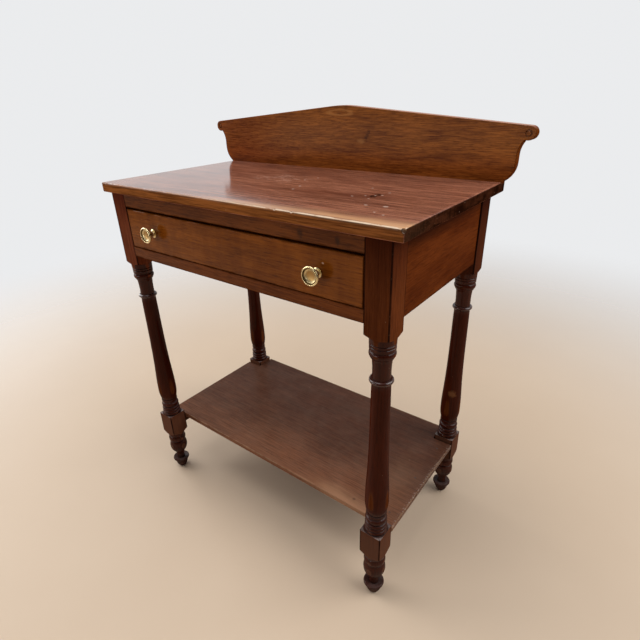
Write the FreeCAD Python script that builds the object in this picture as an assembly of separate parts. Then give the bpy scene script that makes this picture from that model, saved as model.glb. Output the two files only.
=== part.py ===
import FreeCAD, Part
import math
import os

# One-drawer washstand on turned legs, in millimetres.
# The floor is z = 0, the front faces -Y and x = 0 is the middle of the width.
# The depth is centred between the knob faces and the back edge of the top.

# Top board
top_length = 658.0
top_depth = 367.0
top_thickness = 18.0
top_height = 720.0
top_edge_round = 2.5
corner_chip_radius = 6.5
corner_chip_outset = 1.6
edge_nick_radius = 4.0
edge_nick_outset = 1.5
edge_nick_shares = (0.1884, 0.2355)

# Reach of the top past the legs
side_overhang = 17.4
front_overhang = 6.5
back_overhang = 7.0

# Backsplash, heights counted from the top board
backsplash_thickness = 18.0
backsplash_peak = 123.0
peak_half_round = 22.0
backsplash_rebate = 2.0
ear_overhang = 43.0
ear_height = 79.0
ear_radius = 11.2
ear_neck_angle = 115.0
ear_neck_round = 1.8
neck_straight_inset = 25.0
neck_straight_low = 32.0
neck_straight_high = 45.0
backsplash_edge_round = 1.2
eye_radius = 5.8
eye_boss_radius = 3.6
eye_boss_face_radius = 2.9
eye_depth = 1.2
backsplash_screw_count = 5
backsplash_screw_margin = 60.0
backsplash_screw_length = 45.0

# Leg stock and square blocks
leg_square = 41.4
leg_arris_round = 1.4
block_drop = 17.0
block_above_shelf = 9.0
upper_shoulder_slope = 0.55
lower_shoulder_slope = 0.85

# Foot, from the floor upward
toe_radius = 8.4
toe_top_radius = 14.8
toe_bulge = 1.5
toe_bulge_share = 0.4
toe_height = 22.0
foot_disc_radius = 19.4
foot_disc_thickness = 6.2
foot_disc_bulge = 1.8
foot_dish_depth = 1.6
ankle_low_radius = 9.2
ankle_radius = 8.7
ankle_top_radius = 14.2
ankle_height = 23.9
ball_radius = 20.4
ball_top_radius = 17.4
ball_height = 32.5
ball_widest_share = 0.46
ball_groove_depth = 1.8
ball_groove_height = 2.6
ankle_ring_radius = 20.1
ankle_ring_thickness = 13.4
ankle_ring_bulge = 1.6
ankle_ring_groove = 2.4
collar_low_radius = 18.9
collar_top_radius = 20.4
collar_height = 8.6

# Rings on the lower block, from the block upward
base_ring_radii = (20.2, 19.9, 19.6)
base_ring_thickness = 7.5
base_ring_bulge = 2.0
torus_radius = 19.3
torus_thickness = 12.5
torus_bulge = 3.4
cove_radius = 15.9
cove_height = 4.0
fillet_radius = 17.9
fillet_thickness = 4.0
fillet_groove_radius = 16.3
fillet_groove_height = 2.6

# Column
column_foot_radius = 17.3
column_foot_bulge = 1.0
column_foot_bulge_share = 0.45
column_radius = 20.5
column_swell_height = 30.0
column_shoulder_radius = 18.2
column_shoulder_height = 56.0
column_top_radius = 14.9

# Neck of the leg, from the column upward
bead_radius = 18.9
bead_thickness = 7.2
bead_bulge = 3.6
neck_low_radius = 14.5
neck_radius = 14.2
neck_top_radius = 15.2
neck_height = 30.4
neck_waist_share = 0.35
scotia_top_radius = 16.8
scotia_bow = 0.4
scotia_height = 5.0
crown_step_radius = 17.6
crown_step_thickness = 2.0
crown_ring_radius = 20.3
crown_ring_thickness = 10.5
crown_ring_bulge = 2.0
crown_groove_radius = 18.7
crown_groove_height = 2.0
drum_low_radius = 19.8
drum_top_radius = 20.6
drum_height = 19.8
drum_groove_heights = (5.0, 10.0)
drum_groove_depth = 0.9
drum_groove_half_width = 0.9

# Front rails and aprons
upper_rail_height = 24.0
drawer_opening_height = 79.0
lower_rail_height = 21.0
apron_height = 122.0
apron_thickness = 20.0
apron_recess = 2.5

# Mortises and tenons
apron_tenon_thickness = 8.0
apron_tenon_length = 18.0
apron_tenon_shoulder = 12.0
rail_tenon_thickness = 9.0
rail_tenon_length = 16.0
rail_tenon_shoulder = 4.0
rail_tenon_inset = 6.0
rail_tail_length = 16.0
rail_tail_root = 18.0
rail_tail_end = 24.0
rail_tail_thickness = 12.0

# Drawer bearings inside the frame
runner_width = 41.0
runner_height = 18.0
guide_height = 24.0
guide_gap = 0.5
kicker_width = 41.0
stop_length = 40.0
stop_depth = 20.0
stop_thickness = 3.6
stop_place = 150.0
glue_block_length = 60.0
glue_block_side = 16.0
glue_block_count = 3
glue_block_spread = 190.0

# Shelf and its bearers
shelf_height = 160.0
shelf_thickness = 11.0
shelf_gap = 1.0
shelf_notch_gap = 3.5
shelf_back_reach = 3.5
shelf_edge_round = 1.6
bearer_width = 18.0
bearer_height = 22.0
bearer_tenon_thickness = 9.0
bearer_tenon_length = 12.0
bearer_tenon_shoulder = 4.0

# Drawer
drawer_rear_space = 16.0
drawer_side_gap = 1.0
drawer_top_gap = 4.4
drawer_bottom_gap = 0.8
drawer_front_thickness = 19.0
drawer_front_round = 1.2
drawer_lap = 5.0
drawer_side_thickness = 11.0
drawer_side_drop = 3.0
drawer_back_thickness = 10.0
drawer_back_drop = 4.0
tail_count = 3
tail_margin = 4.0
tail_pin_width = 5.0
tail_slope = 0.16
panel_thickness = 7.0
panel_edge = 4.5
panel_tongue = 5.0
panel_play = 0.3
panel_bevel = 24.0
panel_groove_rise = 7.0

# Knobs
knob_inset = 76.2
knob_radius = 15.0
knob_projection = 19.5
knob_edge = 4.2
knob_edge_share = 0.9
knob_back_round = 1.2
knob_edge_round = 0.9
knob_rim = 2.7
knob_rim_slope = 0.5
knob_rim_depth = 2.0
knob_groove = 0.5
knob_ring = 1.5
knob_ring_height = 0.6
knob_dish = 2.2
knob_collar_radius = 8.0
knob_collar_edge = 1.2
knob_collar_height = 2.8
knob_flare = 0.6
knob_stem_radius = 4.8
knob_stem_height = 6.5
knob_bore_depth = 11.0
knob_screw_radius = 2.0
knob_screw_head_radius = 4.2
knob_screw_head_height = 2.6
knob_screw_crown_radius = 3.36
knob_screw_crown_height = 1.04
knob_screw_play = 0.3

# Wood screws and nails
screw_radius = 2.2
screw_head_radius = 4.4
screw_head_height = 2.6
screw_slot_width = 1.0
screw_slot_depth = 1.0
top_screw_bite = 11.0
top_screw_rows = 3
top_screw_margin = 40.0
rail_screw_place = 150.0
nail_side = 2.4
nail_head_side = 4.4
nail_head_height = 1.6
shelf_nail_length = 28.0
shelf_nail_rows = 3
shelf_nail_margin = 30.0
panel_nail_length = 22.0
panel_nail_count = 5
panel_nail_margin = 30.0
runner_nail_length = 54.0
runner_nail_rows = 3
runner_nail_margin = 35.0

# Places worked out from the sizes above
front_reach = max(knob_projection - front_overhang, 0.0)
top_back = (top_depth + front_reach) / 2
top_front = top_back - top_depth
leg_height = top_height - top_thickness
backsplash_front = top_back - backsplash_thickness
rebate_floor = top_height - backsplash_rebate
half_leg = leg_square / 2
ear_reach = top_length / 2 + ear_overhang
leg_x = top_length / 2 - side_overhang - half_leg
leg_outer = leg_x + half_leg
leg_inner = leg_x - half_leg
front_face = top_front + front_overhang
back_face = top_back - back_overhang
bay_front = front_face + leg_square
bay_back = back_face - leg_square
front_leg_y = front_face + half_leg
back_leg_y = back_face - half_leg

opening_top = leg_height - upper_rail_height
opening_bottom = opening_top - drawer_opening_height
lower_rail_bottom = opening_bottom - lower_rail_height
apron_bottom = leg_height - apron_height
apron_outer = leg_outer - apron_recess
apron_inner = apron_outer - apron_thickness
back_apron_outer = back_face - apron_recess
back_apron_inner = back_apron_outer - apron_thickness

shelf_bottom = shelf_height - shelf_thickness
bearer_bottom = shelf_bottom - bearer_height
lower_block_top = shelf_height + block_above_shelf
upper_block_bottom = lower_rail_bottom - block_drop

half_drawer = leg_inner - drawer_side_gap
half_inside = half_drawer - drawer_side_thickness
drawer_rear = back_apron_inner - drawer_rear_space
drawer_front_back = front_face + drawer_front_thickness
drawer_front_bottom = opening_bottom + drawer_bottom_gap
drawer_front_top = opening_top - drawer_top_gap
drawer_side_top = drawer_front_top - drawer_side_drop
groove_bottom = opening_bottom + panel_groove_rise
groove_top = groove_bottom + panel_edge
drawer_back_top = drawer_side_top - drawer_back_drop
knob_spacing = 2 * (half_drawer - knob_inset)
knob_height = (drawer_front_bottom + drawer_front_top) / 2


def vector(x, y, z):
    return FreeCAD.Vector(x, y, z)


def board(x_low, x_high, y_low, y_high, z_low, z_high):
    """A straight board between three pairs of planes."""
    corner = vector(x_low, y_low, z_low)
    return Part.makeBox(x_high - x_low, y_high - y_low, z_high - z_low, corner)


def prism(points, path):
    """A flat polygon drawn through the points and pushed along the path."""
    face = Part.Face(Part.makePolygon(points + points[:1]))
    return face.extrude(path)


def mirrored(shape):
    """The same piece on the other side of the middle plane."""
    return shape.mirror(vector(0, 0, 0), vector(1, 0, 0))


def moved(shape, x, y, z):
    copy = shape.copy()
    copy.translate(vector(x, y, z))
    return copy


def spread(count, reach):
    """Evenly spaced places from -reach to +reach."""
    return [reach * (2 * place / (count - 1) - 1) for place in range(count)]


def rounded(shape, radius, wanted):
    """The shape with the wanted edges rounded over."""
    edges = [edge for edge in shape.Edges if wanted(edge)]
    return shape.makeFillet(radius, edges)


def save(name, shape):
    shape.exportStep("parts/" + name + ".step")


class Turning:
    """Half section of a turned piece, drawn upward from its axis."""

    def __init__(self):
        self.radius = 0.0
        self.height = 0.0
        self.edges = []

    def point(self, radius, height):
        return vector(radius, 0, height)

    def line(self, radius, rise):
        start = self.point(self.radius, self.height)
        end = self.point(radius, self.height + rise)
        if start.distanceToPoint(end) > 0.001:
            self.edges.append(Part.makeLine(start, end))
        self.radius = radius
        self.height = self.height + rise

    def line_to(self, radius, height):
        self.line(radius, height - self.height)

    def curve(self, middle_radius, middle_rise, radius, rise):
        start = self.point(self.radius, self.height)
        middle = self.point(middle_radius, self.height + middle_rise)
        end = self.point(radius, self.height + rise)
        self.edges.append(Part.Arc(start, middle, end).toShape())
        self.radius = radius
        self.height = self.height + rise

    def ring(self, radius, thickness, bulge):
        """A ring whose rounded edge stands out by the bulge."""
        self.line(radius - bulge, 0)
        self.curve(radius, thickness / 2, radius - bulge, thickness)

    def taper(self, middle_radius, middle_rise, radius, rise):
        """A smooth taper that starts upright and runs through a middle point."""
        start = self.point(self.radius, self.height)
        middle = self.point(middle_radius, self.height + middle_rise)
        end = self.point(radius, self.height + rise)
        bow = Part.BSplineCurve()
        bow.interpolate(Points=[start, middle, end], InitialTangent=vector(0, 0, 1),
                        FinalTangent=(end - middle).normalize())
        self.edges.append(bow.toShape())
        self.radius = radius
        self.height = self.height + rise

    def dish(self, depth):
        """A hollow like the inside of a ball, lowest on the axis."""
        ball = (self.radius * self.radius + depth * depth) / (2 * depth)
        half = self.radius / 2
        middle_rise = ball - depth - math.sqrt(ball * ball - half * half)
        self.curve(half, middle_rise, 0, -depth)

    def solid(self):
        """The outline closed on the axis and spun round it."""
        self.line(0, 0)
        self.line_to(0, 0)
        face = Part.Face(Part.Wire(self.edges))
        return face.revolve(vector(0, 0, 0), vector(0, 0, 1), 360)


# Turned leg with its two square blocks

def turned_form():
    """The lathe work of one leg, wider than the stock where the blocks stay square."""
    block_zone = leg_square * 0.75
    block_corner = half_leg * math.sqrt(2)
    form = Turning()
    form.line(toe_radius, 0)
    toe_middle = (toe_radius + toe_top_radius) / 2 + toe_bulge
    form.curve(toe_middle, toe_height * toe_bulge_share, toe_top_radius, toe_height)
    form.ring(foot_disc_radius, foot_disc_thickness, foot_disc_bulge)
    form.line(ankle_low_radius, -foot_dish_depth)
    form.curve(ankle_radius, ankle_height / 2, ankle_top_radius, ankle_height)
    form.curve(ball_radius, ball_height * ball_widest_share, ball_top_radius, ball_height)
    form.line(ball_top_radius - ball_groove_depth, ball_groove_height / 2)
    form.line(ankle_ring_radius - ankle_ring_bulge, ball_groove_height / 2)
    form.ring(ankle_ring_radius, ankle_ring_thickness, ankle_ring_bulge)
    form.line(collar_low_radius - ankle_ring_groove / 2, ankle_ring_groove / 2)
    form.line(collar_low_radius, ankle_ring_groove / 2)
    form.line(collar_top_radius, collar_height)
    form.line(block_zone, (block_zone - collar_top_radius) * lower_shoulder_slope)
    form.line_to(block_zone, lower_block_top)

    for base_ring_radius in base_ring_radii:
        form.ring(base_ring_radius, base_ring_thickness, base_ring_bulge)
    form.ring(torus_radius, torus_thickness, torus_bulge)
    form.line(cove_radius, 0)
    form.line(cove_radius, cove_height)
    form.line(fillet_radius, 0)
    form.line(fillet_radius, fillet_thickness)
    form.line(fillet_groove_radius, 0)
    form.line(fillet_groove_radius, fillet_groove_height)

    drum_top = upper_block_bottom - (block_corner - drum_top_radius) * upper_shoulder_slope
    drum_bottom = drum_top - drum_height
    crown_bottom = drum_bottom - crown_groove_height - crown_ring_thickness - crown_step_thickness
    column_top = crown_bottom - scotia_height - neck_height - bead_thickness
    swell_top = form.height + column_swell_height
    swell_radius = (column_foot_radius + column_radius) / 2 + column_foot_bulge
    form.line(column_foot_radius, 0)
    swell_middle = column_swell_height * column_foot_bulge_share
    form.curve(swell_radius, swell_middle, column_radius, column_swell_height)
    form.taper(column_shoulder_radius, column_shoulder_height, column_top_radius, column_top - swell_top)

    form.ring(bead_radius, bead_thickness, bead_bulge)
    form.line(neck_low_radius, 0)
    form.curve(neck_radius, neck_height * neck_waist_share, neck_top_radius, neck_height)
    scotia_middle = (neck_top_radius + scotia_top_radius) / 2 - scotia_bow
    form.curve(scotia_middle, scotia_height / 2, scotia_top_radius, scotia_height)
    form.line(crown_step_radius, 0)
    form.line(crown_step_radius, crown_step_thickness)
    form.ring(crown_ring_radius, crown_ring_thickness, crown_ring_bulge)
    form.line(crown_groove_radius, 0)
    form.line(crown_groove_radius, crown_groove_height)
    form.line(drum_low_radius, 0)
    drum_flare = (drum_top_radius - drum_low_radius) / drum_height
    for groove_height in drum_groove_heights:
        groove_radius = drum_low_radius + drum_flare * groove_height
        form.line_to(groove_radius, drum_bottom + groove_height - drum_groove_half_width)
        form.line(groove_radius - drum_groove_depth, drum_groove_half_width)
        form.line(groove_radius, drum_groove_half_width)
    form.line_to(drum_top_radius, drum_top)
    form.line(block_zone, (block_zone - drum_top_radius) * upper_shoulder_slope)
    form.line_to(block_zone, leg_height)
    return form.solid()


def plain_leg():
    """Square stock with softened arrises, cut to the turned form."""
    stock = board(-half_leg, half_leg, -half_leg, half_leg, 0, leg_height)
    stock = rounded(stock, leg_arris_round, is_upright)
    return stock.common(turned_form())


def is_upright(edge):
    ends = edge.Vertexes
    return len(ends) == 2 and abs(ends[0].Z - ends[1].Z) > edge.Length * 0.99


# Joints, made once and used for both the piece and its socket

def apron_tenon_span():
    return apron_bottom + apron_tenon_shoulder, leg_height - apron_tenon_shoulder


def side_apron_tenons():
    """Tenons at the front and back ends of the right side apron."""
    middle = (apron_outer + apron_inner) / 2
    low, high = apron_tenon_span()
    x_low = middle - apron_tenon_thickness / 2
    x_high = middle + apron_tenon_thickness / 2
    front = board(x_low, x_high, bay_front - apron_tenon_length, bay_front, low, high)
    back = board(x_low, x_high, bay_back, bay_back + apron_tenon_length, low, high)
    return front, back


def back_apron_tenon():
    """Tenon at the right end of the back apron."""
    middle = (back_apron_outer + back_apron_inner) / 2
    low, high = apron_tenon_span()
    y_low = middle - apron_tenon_thickness / 2
    y_high = middle + apron_tenon_thickness / 2
    return board(leg_inner, leg_inner + apron_tenon_length, y_low, y_high, low, high)


def lower_rail_tenons():
    """Twin tenons side by side at the right end of the lower front rail."""
    low = lower_rail_bottom + rail_tenon_shoulder
    high = opening_bottom - rail_tenon_shoulder
    reach = leg_inner + rail_tenon_length
    first = front_face + rail_tenon_inset
    last = bay_front - rail_tenon_inset
    near = board(leg_inner, reach, first, first + rail_tenon_thickness, low, high)
    far = board(leg_inner, reach, last - rail_tenon_thickness, last, low, high)
    return near, far


def upper_rail_tail():
    """Dovetail at the right end of the upper front rail, let into the leg's top end."""
    middle = (front_face + bay_front) / 2
    low = leg_height - rail_tail_thickness
    reach = leg_inner + rail_tail_length
    outline = [
        vector(leg_inner, middle - rail_tail_root / 2, low),
        vector(reach, middle - rail_tail_end / 2, low),
        vector(reach, middle + rail_tail_end / 2, low),
        vector(leg_inner, middle + rail_tail_root / 2, low),
    ]
    return prism(outline, vector(0, 0, rail_tail_thickness))


def bearer_tenons():
    """Tenons at the front and back ends of the right shelf bearer."""
    x_low = leg_x - bearer_tenon_thickness / 2
    x_high = leg_x + bearer_tenon_thickness / 2
    low = bearer_bottom + bearer_tenon_shoulder
    high = shelf_bottom - bearer_tenon_shoulder
    front = board(x_low, x_high, bay_front - bearer_tenon_length, bay_front, low, high)
    back = board(x_low, x_high, bay_back, bay_back + bearer_tenon_length, low, high)
    return front, back


def build_legs():
    leg = plain_leg()
    side_front, side_back = side_apron_tenons()
    bearer_front, bearer_back = bearer_tenons()
    front_sockets = [side_front, bearer_front, upper_rail_tail()]
    front_sockets.extend(lower_rail_tenons())
    back_sockets = [side_back, bearer_back, back_apron_tenon()]
    front_leg = moved(leg, leg_x, front_leg_y, 0).cut(front_sockets)
    back_leg = moved(leg, leg_x, back_leg_y, 0).cut(back_sockets)
    save("leg_front_right", front_leg)
    save("leg_front_left", mirrored(front_leg))
    save("leg_back_right", back_leg)
    save("leg_back_left", mirrored(back_leg))


# Fasteners, made once and used for both the piece and its hole

def wood_screw(length):
    """Countersunk screw standing on its head at the origin, point upward."""
    form = Turning()
    form.line(screw_head_radius, 0)
    form.line(screw_radius, screw_head_height)
    form.line_to(screw_radius, length - 2 * screw_radius)
    form.line_to(0, length)
    return form.solid()


def slotted(screw):
    """The screw with the slot across its head."""
    half_width = screw_slot_width / 2
    slot = board(-screw_head_radius, screw_head_radius, -half_width, half_width, 0, screw_slot_depth)
    return screw.cut(slot)


def cut_nail(length):
    """Square cut nail hanging from its head at the origin, point downward."""
    half_head = nail_head_side / 2
    half_nail = nail_side / 2
    head = board(-half_head, half_head, -half_nail, half_nail, -nail_head_height, 0)
    outline = [
        vector(-half_nail, -half_nail, -nail_head_height),
        vector(half_nail, -half_nail, -nail_head_height),
        vector(half_nail / 2, -half_nail, -length),
        vector(-half_nail / 2, -half_nail, -length),
    ]
    shank = prism(outline, vector(0, nail_side, 0))
    return head.fuse(shank).removeSplitter()


def top_screw_places():
    """Screws up through the kickers and the upper rail into the top board."""
    bay_middle = (bay_front + bay_back) / 2
    bay_reach = (bay_back - bay_front) / 2 - top_screw_margin
    side_x = apron_inner - kicker_width / 2
    places = []
    for y in spread(top_screw_rows, bay_reach):
        places.append((side_x, bay_middle + y))
        places.append((-side_x, bay_middle + y))
    for x in spread(2, rail_screw_place):
        places.append((x, (front_face + bay_front) / 2))
    return places


def top_screws(slot):
    length = upper_rail_height + top_screw_bite
    screw = wood_screw(length)
    if slot:
        screw = slotted(screw)
    return [moved(screw, x, y, opening_top) for x, y in top_screw_places()]


def backsplash_screws(slot):
    screw = wood_screw(backsplash_screw_length)
    if slot:
        screw = slotted(screw)
    y = top_back - backsplash_thickness / 2
    reach = top_length / 2 - backsplash_screw_margin
    return [moved(screw, x, y, leg_height) for x in spread(backsplash_screw_count, reach)]


def shelf_nails():
    """Nails down through the shelf into the bearers, heads level with its face."""
    nail = cut_nail(shelf_nail_length)
    middle = (bay_front + bay_back) / 2
    reach = (bay_back - bay_front) / 2 - shelf_nail_margin
    nails = []
    for y in spread(shelf_nail_rows, reach):
        nails.append(moved(nail, leg_x, middle + y, shelf_height))
        nails.append(moved(nail, -leg_x, middle + y, shelf_height))
    return nails


def runner_nails():
    """Nails sideways through the runners into the side aprons."""
    nail = cut_nail(runner_nail_length)
    nail.rotate(vector(0, 0, 0), vector(0, 1, 0), -90)
    middle = (bay_front + bay_back) / 2
    reach = (bay_back - bay_front) / 2 - runner_nail_margin
    height = opening_bottom - runner_height / 2
    nails = []
    for y in spread(runner_nail_rows, reach):
        right = moved(nail, apron_inner - runner_width, middle + y, height)
        nails.append(right)
        nails.append(mirrored(right))
    return nails


def panel_nails():
    """Nails up through the drawer bottom into the drawer back."""
    nail = cut_nail(panel_nail_length)
    nail.rotate(vector(0, 0, 0), vector(1, 0, 0), 180)
    y = drawer_rear - drawer_back_thickness / 2
    low = groove_top - panel_thickness
    reach = half_inside - panel_nail_margin
    return [moved(nail, x, y, low) for x in spread(panel_nail_count, reach)]


def knob_screw():
    """Round-headed screw along +Z, its head below the origin."""
    form = Turning()
    form.line(knob_screw_crown_radius, 0)
    form.line(knob_screw_head_radius, knob_screw_crown_height)
    form.line_to(knob_screw_head_radius, knob_screw_head_height)
    form.line(knob_screw_radius, 0)
    form.line(knob_screw_radius, drawer_front_thickness + knob_bore_depth)
    screw = moved(form.solid(), 0, 0, -knob_screw_head_height)
    half_width = screw_slot_width / 2
    slot = board(-knob_screw_head_radius, knob_screw_head_radius, -half_width, half_width,
                 -knob_screw_head_height, -knob_screw_head_height + screw_slot_depth)
    return screw.cut(slot)


# Top board and backsplash

def build_top():
    shape = board(-top_length / 2, top_length / 2, top_front, top_back, leg_height, top_height)
    shape = rounded(shape, top_edge_round, is_worn_top_edge)
    rebate = board(-top_length / 2, top_length / 2, backsplash_front, top_back, rebate_floor, top_height)
    shape = shape.cut([rebate, corner_chip()] + edge_nicks() + top_screws(False))
    save("top_board", shape.cut(backsplash_screws(False)))
    save("top_screws", Part.makeCompound(top_screws(True)))


def corner_chip():
    """Ball-shaped bite out of the front right corner, where a knock has broken the wood."""
    x = top_length / 2 + corner_chip_outset
    y = top_front - corner_chip_outset
    return Part.makeSphere(corner_chip_radius, vector(x, y, top_height))


def edge_nicks():
    """Two shallow bites out of the front top edge, right of the middle."""
    y = top_front - edge_nick_outset
    z = top_height + edge_nick_outset
    places = [vector(share * top_length, y, z) for share in edge_nick_shares]
    return [Part.makeSphere(edge_nick_radius, place) for place in places]


def is_worn_top_edge(edge):
    """Every edge of the top board but those under and behind the backsplash."""
    middle = edge.valueAt((edge.FirstParameter + edge.LastParameter) / 2)
    return middle.y < top_back - 1


def backsplash_outline():
    """Front view of the board: a low gable, round ears, hollowed ends and a foot in the rebate."""
    base = top_height
    end = top_length / 2
    peak = vector(0, 0, base + backsplash_peak)
    ear = vector(ear_reach - ear_radius, 0, base + ear_height)
    slope = peak - ear
    lean = math.atan2(slope.z, slope.x)
    turn = lean - math.acos(ear_radius / slope.Length)
    shoulder = ear + vector(math.cos(turn), 0, math.sin(turn)) * ear_radius
    neck_turn = math.radians(-ear_neck_angle)
    neck = ear + vector(math.cos(neck_turn), 0, math.sin(neck_turn)) * ear_radius
    side = ear_reach - neck_straight_inset
    high = vector(side, 0, base + neck_straight_high)
    low = vector(side, 0, base + neck_straight_low)
    foot = vector(end, 0, base)
    toe = vector(end, 0, rebate_floor)
    along = (shoulder - peak).normalize()
    crest = peak + along * peak_half_round
    soft_peak = peak + vector(0, 0, (crest.z - peak.z) / 2)
    flipped_crest = vector(-crest.x, 0, crest.z)

    ear_tip = ear + vector(ear_radius, 0, 0)
    half = [
        Part.makeLine(crest, shoulder),
        Part.Arc(shoulder, ear_tip, neck).toShape(),
        upright_arc(neck, high),
        Part.makeLine(high, low),
        upright_arc(foot, low),
        Part.makeLine(foot, toe),
    ]
    other_half = [mirrored(edge) for edge in half]
    crown = Part.Arc(flipped_crest, soft_peak, crest).toShape()
    bottom = Part.makeLine(vector(-end, 0, rebate_floor), toe)
    return Part.Face(Part.Wire(Part.__sortEdges__(half + other_half + [crown, bottom])))


def upright_arc(start, end):
    """Arc from the start that meets the end running straight up and down."""
    across = start.x - end.x
    up = start.z - end.z
    radius = (across * across + up * up) / (2 * across)
    centre = vector(end.x + radius, 0, end.z)
    outward = (start - centre).normalize() + (end - centre).normalize()
    middle = centre + outward.normalize() * abs(radius)
    return Part.Arc(start, middle, end).toShape()


def scroll_eye(x):
    """Ring cut round the small boss at the centre of a rounded ear."""
    depth = vector(0, eye_depth, 0)
    centre = vector(x, backsplash_front, top_height + ear_height)
    outer = Part.makeCylinder(eye_radius, eye_depth, centre, depth)
    boss = Part.makeCone(eye_boss_face_radius, eye_boss_radius, eye_depth, centre, depth)
    return outer.cut(boss)


def build_backsplash():
    face = backsplash_outline()
    face.translate(vector(0, backsplash_front, 0))
    shape = face.extrude(vector(0, backsplash_thickness, 0))
    shape = rounded(shape, ear_neck_round, is_neck_corner)
    shape = rounded(shape, backsplash_edge_round, is_backsplash_front_edge)
    ear_x = ear_reach - ear_radius
    shape = shape.cut([scroll_eye(ear_x), scroll_eye(-ear_x)])
    save("backsplash", shape.cut(backsplash_screws(False)))
    save("backsplash_screws", Part.makeCompound(backsplash_screws(True)))


def is_neck_corner(edge):
    """The inward corner through the board under each ear."""
    box = edge.BoundBox
    runs_through = box.YLength > backsplash_thickness / 2
    above_straight = box.ZMin > top_height + neck_straight_high + 0.01
    return runs_through and above_straight and box.ZMax < top_height + ear_height


def is_backsplash_front_edge(edge):
    """Edges of the front face, apart from the one that stands on the top board."""
    box = edge.BoundBox
    on_front = box.YMax < backsplash_front + 0.01
    return on_front and box.ZMax > top_height + 0.01


# Rails, aprons and drawer bearings

def build_rails():
    upper = board(-leg_inner, leg_inner, front_face, bay_front, opening_top, leg_height)
    tail = upper_rail_tail()
    upper = upper.fuse([tail, mirrored(tail)]).removeSplitter()
    save("upper_front_rail", upper.cut(top_screws(False)))

    lower = board(-leg_inner, leg_inner, front_face, bay_front, lower_rail_bottom, opening_bottom)
    tenons = list(lower_rail_tenons())
    tenons.extend([mirrored(tenon) for tenon in tenons])
    save("lower_front_rail", lower.fuse(tenons).removeSplitter())


def build_aprons():
    side = board(apron_inner, apron_outer, bay_front, bay_back, apron_bottom, leg_height)
    side = side.fuse(list(side_apron_tenons())).removeSplitter()
    side = side.cut(runner_nails())
    save("side_apron_right", side)
    save("side_apron_left", mirrored(side))

    back = board(-leg_inner, leg_inner, back_apron_inner, back_apron_outer, apron_bottom, leg_height)
    tenon = back_apron_tenon()
    save("back_apron", back.fuse([tenon, mirrored(tenon)]).removeSplitter())


def build_bearings():
    """Runner below, guide beside and kicker above each drawer side."""
    runner_inner = apron_inner - runner_width
    runner_bottom = opening_bottom - runner_height
    runner = board(runner_inner, apron_inner, bay_front, bay_back, runner_bottom, opening_bottom)
    runner = runner.cut(runner_nails())
    guide_inner = leg_inner + guide_gap
    guide_top = opening_bottom + guide_height
    guide = board(guide_inner, apron_inner, bay_front, bay_back, opening_bottom, guide_top)
    kicker_inner = apron_inner - kicker_width
    kicker = board(kicker_inner, apron_inner, bay_front, bay_back, opening_top, leg_height)
    kicker = kicker.cut(top_screws(False))
    for name, shape in (("runner", runner), ("guide", guide), ("kicker", kicker)):
        save("drawer_" + name + "_right", shape)
        save("drawer_" + name + "_left", mirrored(shape))
    save("runner_nails", Part.makeCompound(runner_nails()))


def build_blocks():
    """Drawer stops on the lower rail, and glue blocks under the top at the back."""
    stop_back = drawer_front_back + stop_depth
    stop = board(-stop_length / 2, stop_length / 2, drawer_front_back, stop_back,
                 opening_bottom, opening_bottom + stop_thickness)
    save("drawer_stops", Part.makeCompound([moved(stop, x, 0, 0) for x in spread(2, stop_place)]))

    outline = [
        vector(-glue_block_length / 2, back_apron_inner, leg_height),
        vector(-glue_block_length / 2, back_apron_inner - glue_block_side, leg_height),
        vector(-glue_block_length / 2, back_apron_inner, leg_height - glue_block_side),
    ]
    block = prism(outline, vector(glue_block_length, 0, 0))
    blocks = [moved(block, x, 0, 0) for x in spread(glue_block_count, glue_block_spread)]
    save("glue_blocks", Part.makeCompound(blocks))


# Shelf

def build_shelf():
    front = bay_front + shelf_gap
    back = back_face + shelf_back_reach
    shelf = board(-leg_outer, leg_outer, front, back, shelf_bottom, shelf_height)
    notch_inner = leg_inner - shelf_gap
    notch_front = bay_back - shelf_notch_gap
    beyond = leg_outer + shelf_back_reach
    notch = board(notch_inner, beyond, notch_front, back + shelf_back_reach, shelf_bottom, shelf_height)
    shelf = shelf.cut([notch, mirrored(notch)])
    shelf = rounded(shelf, shelf_edge_round, is_shelf_edge)
    save("shelf", shelf.cut(shelf_nails()))
    save("shelf_nails", Part.makeCompound(shelf_nails()))

    half_bearer = bearer_width / 2
    bearer = board(leg_x - half_bearer, leg_x + half_bearer,
                   bay_front, bay_back, bearer_bottom, shelf_bottom)
    bearer = bearer.fuse(list(bearer_tenons())).removeSplitter()
    bearer = bearer.cut(shelf_nails())
    save("shelf_bearer_right", bearer)
    save("shelf_bearer_left", mirrored(bearer))


def is_shelf_edge(edge):
    """The long front edges and the two ends of the shelf."""
    box = edge.BoundBox
    on_front = box.YMax < bay_front + shelf_gap + 0.01
    on_end = box.XMin > leg_outer - 0.01 or box.XMax < -leg_outer + 0.01
    return (on_front or on_end) and not is_upright(edge)


# Drawer

def tail_rows(low, high):
    """Lower and upper edges of each tail at its wide end."""
    pitch = (high - low - 2 * tail_margin + tail_pin_width) / tail_count
    rows = []
    for number in range(tail_count):
        start = low + tail_margin + number * pitch
        rows.append((start, start + pitch - tail_pin_width))
    return rows


def tails(low, high, wide_y, root_y):
    """Dovetails of the right drawer side, widest at the end of the board."""
    taper = abs(root_y - wide_y) * tail_slope
    shapes = []
    for start, finish in tail_rows(low, high):
        outline = [
            vector(half_inside, wide_y, start),
            vector(half_inside, wide_y, finish),
            vector(half_inside, root_y, finish - taper),
            vector(half_inside, root_y, start + taper),
        ]
        shapes.append(prism(outline, vector(drawer_side_thickness, 0, 0)))
    return shapes


def front_tails():
    low = drawer_front_bottom
    return tails(low, drawer_side_top, front_face + drawer_lap, drawer_front_back)


def rear_tails():
    return tails(groove_top, drawer_back_top, drawer_rear, drawer_rear - drawer_back_thickness)


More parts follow.
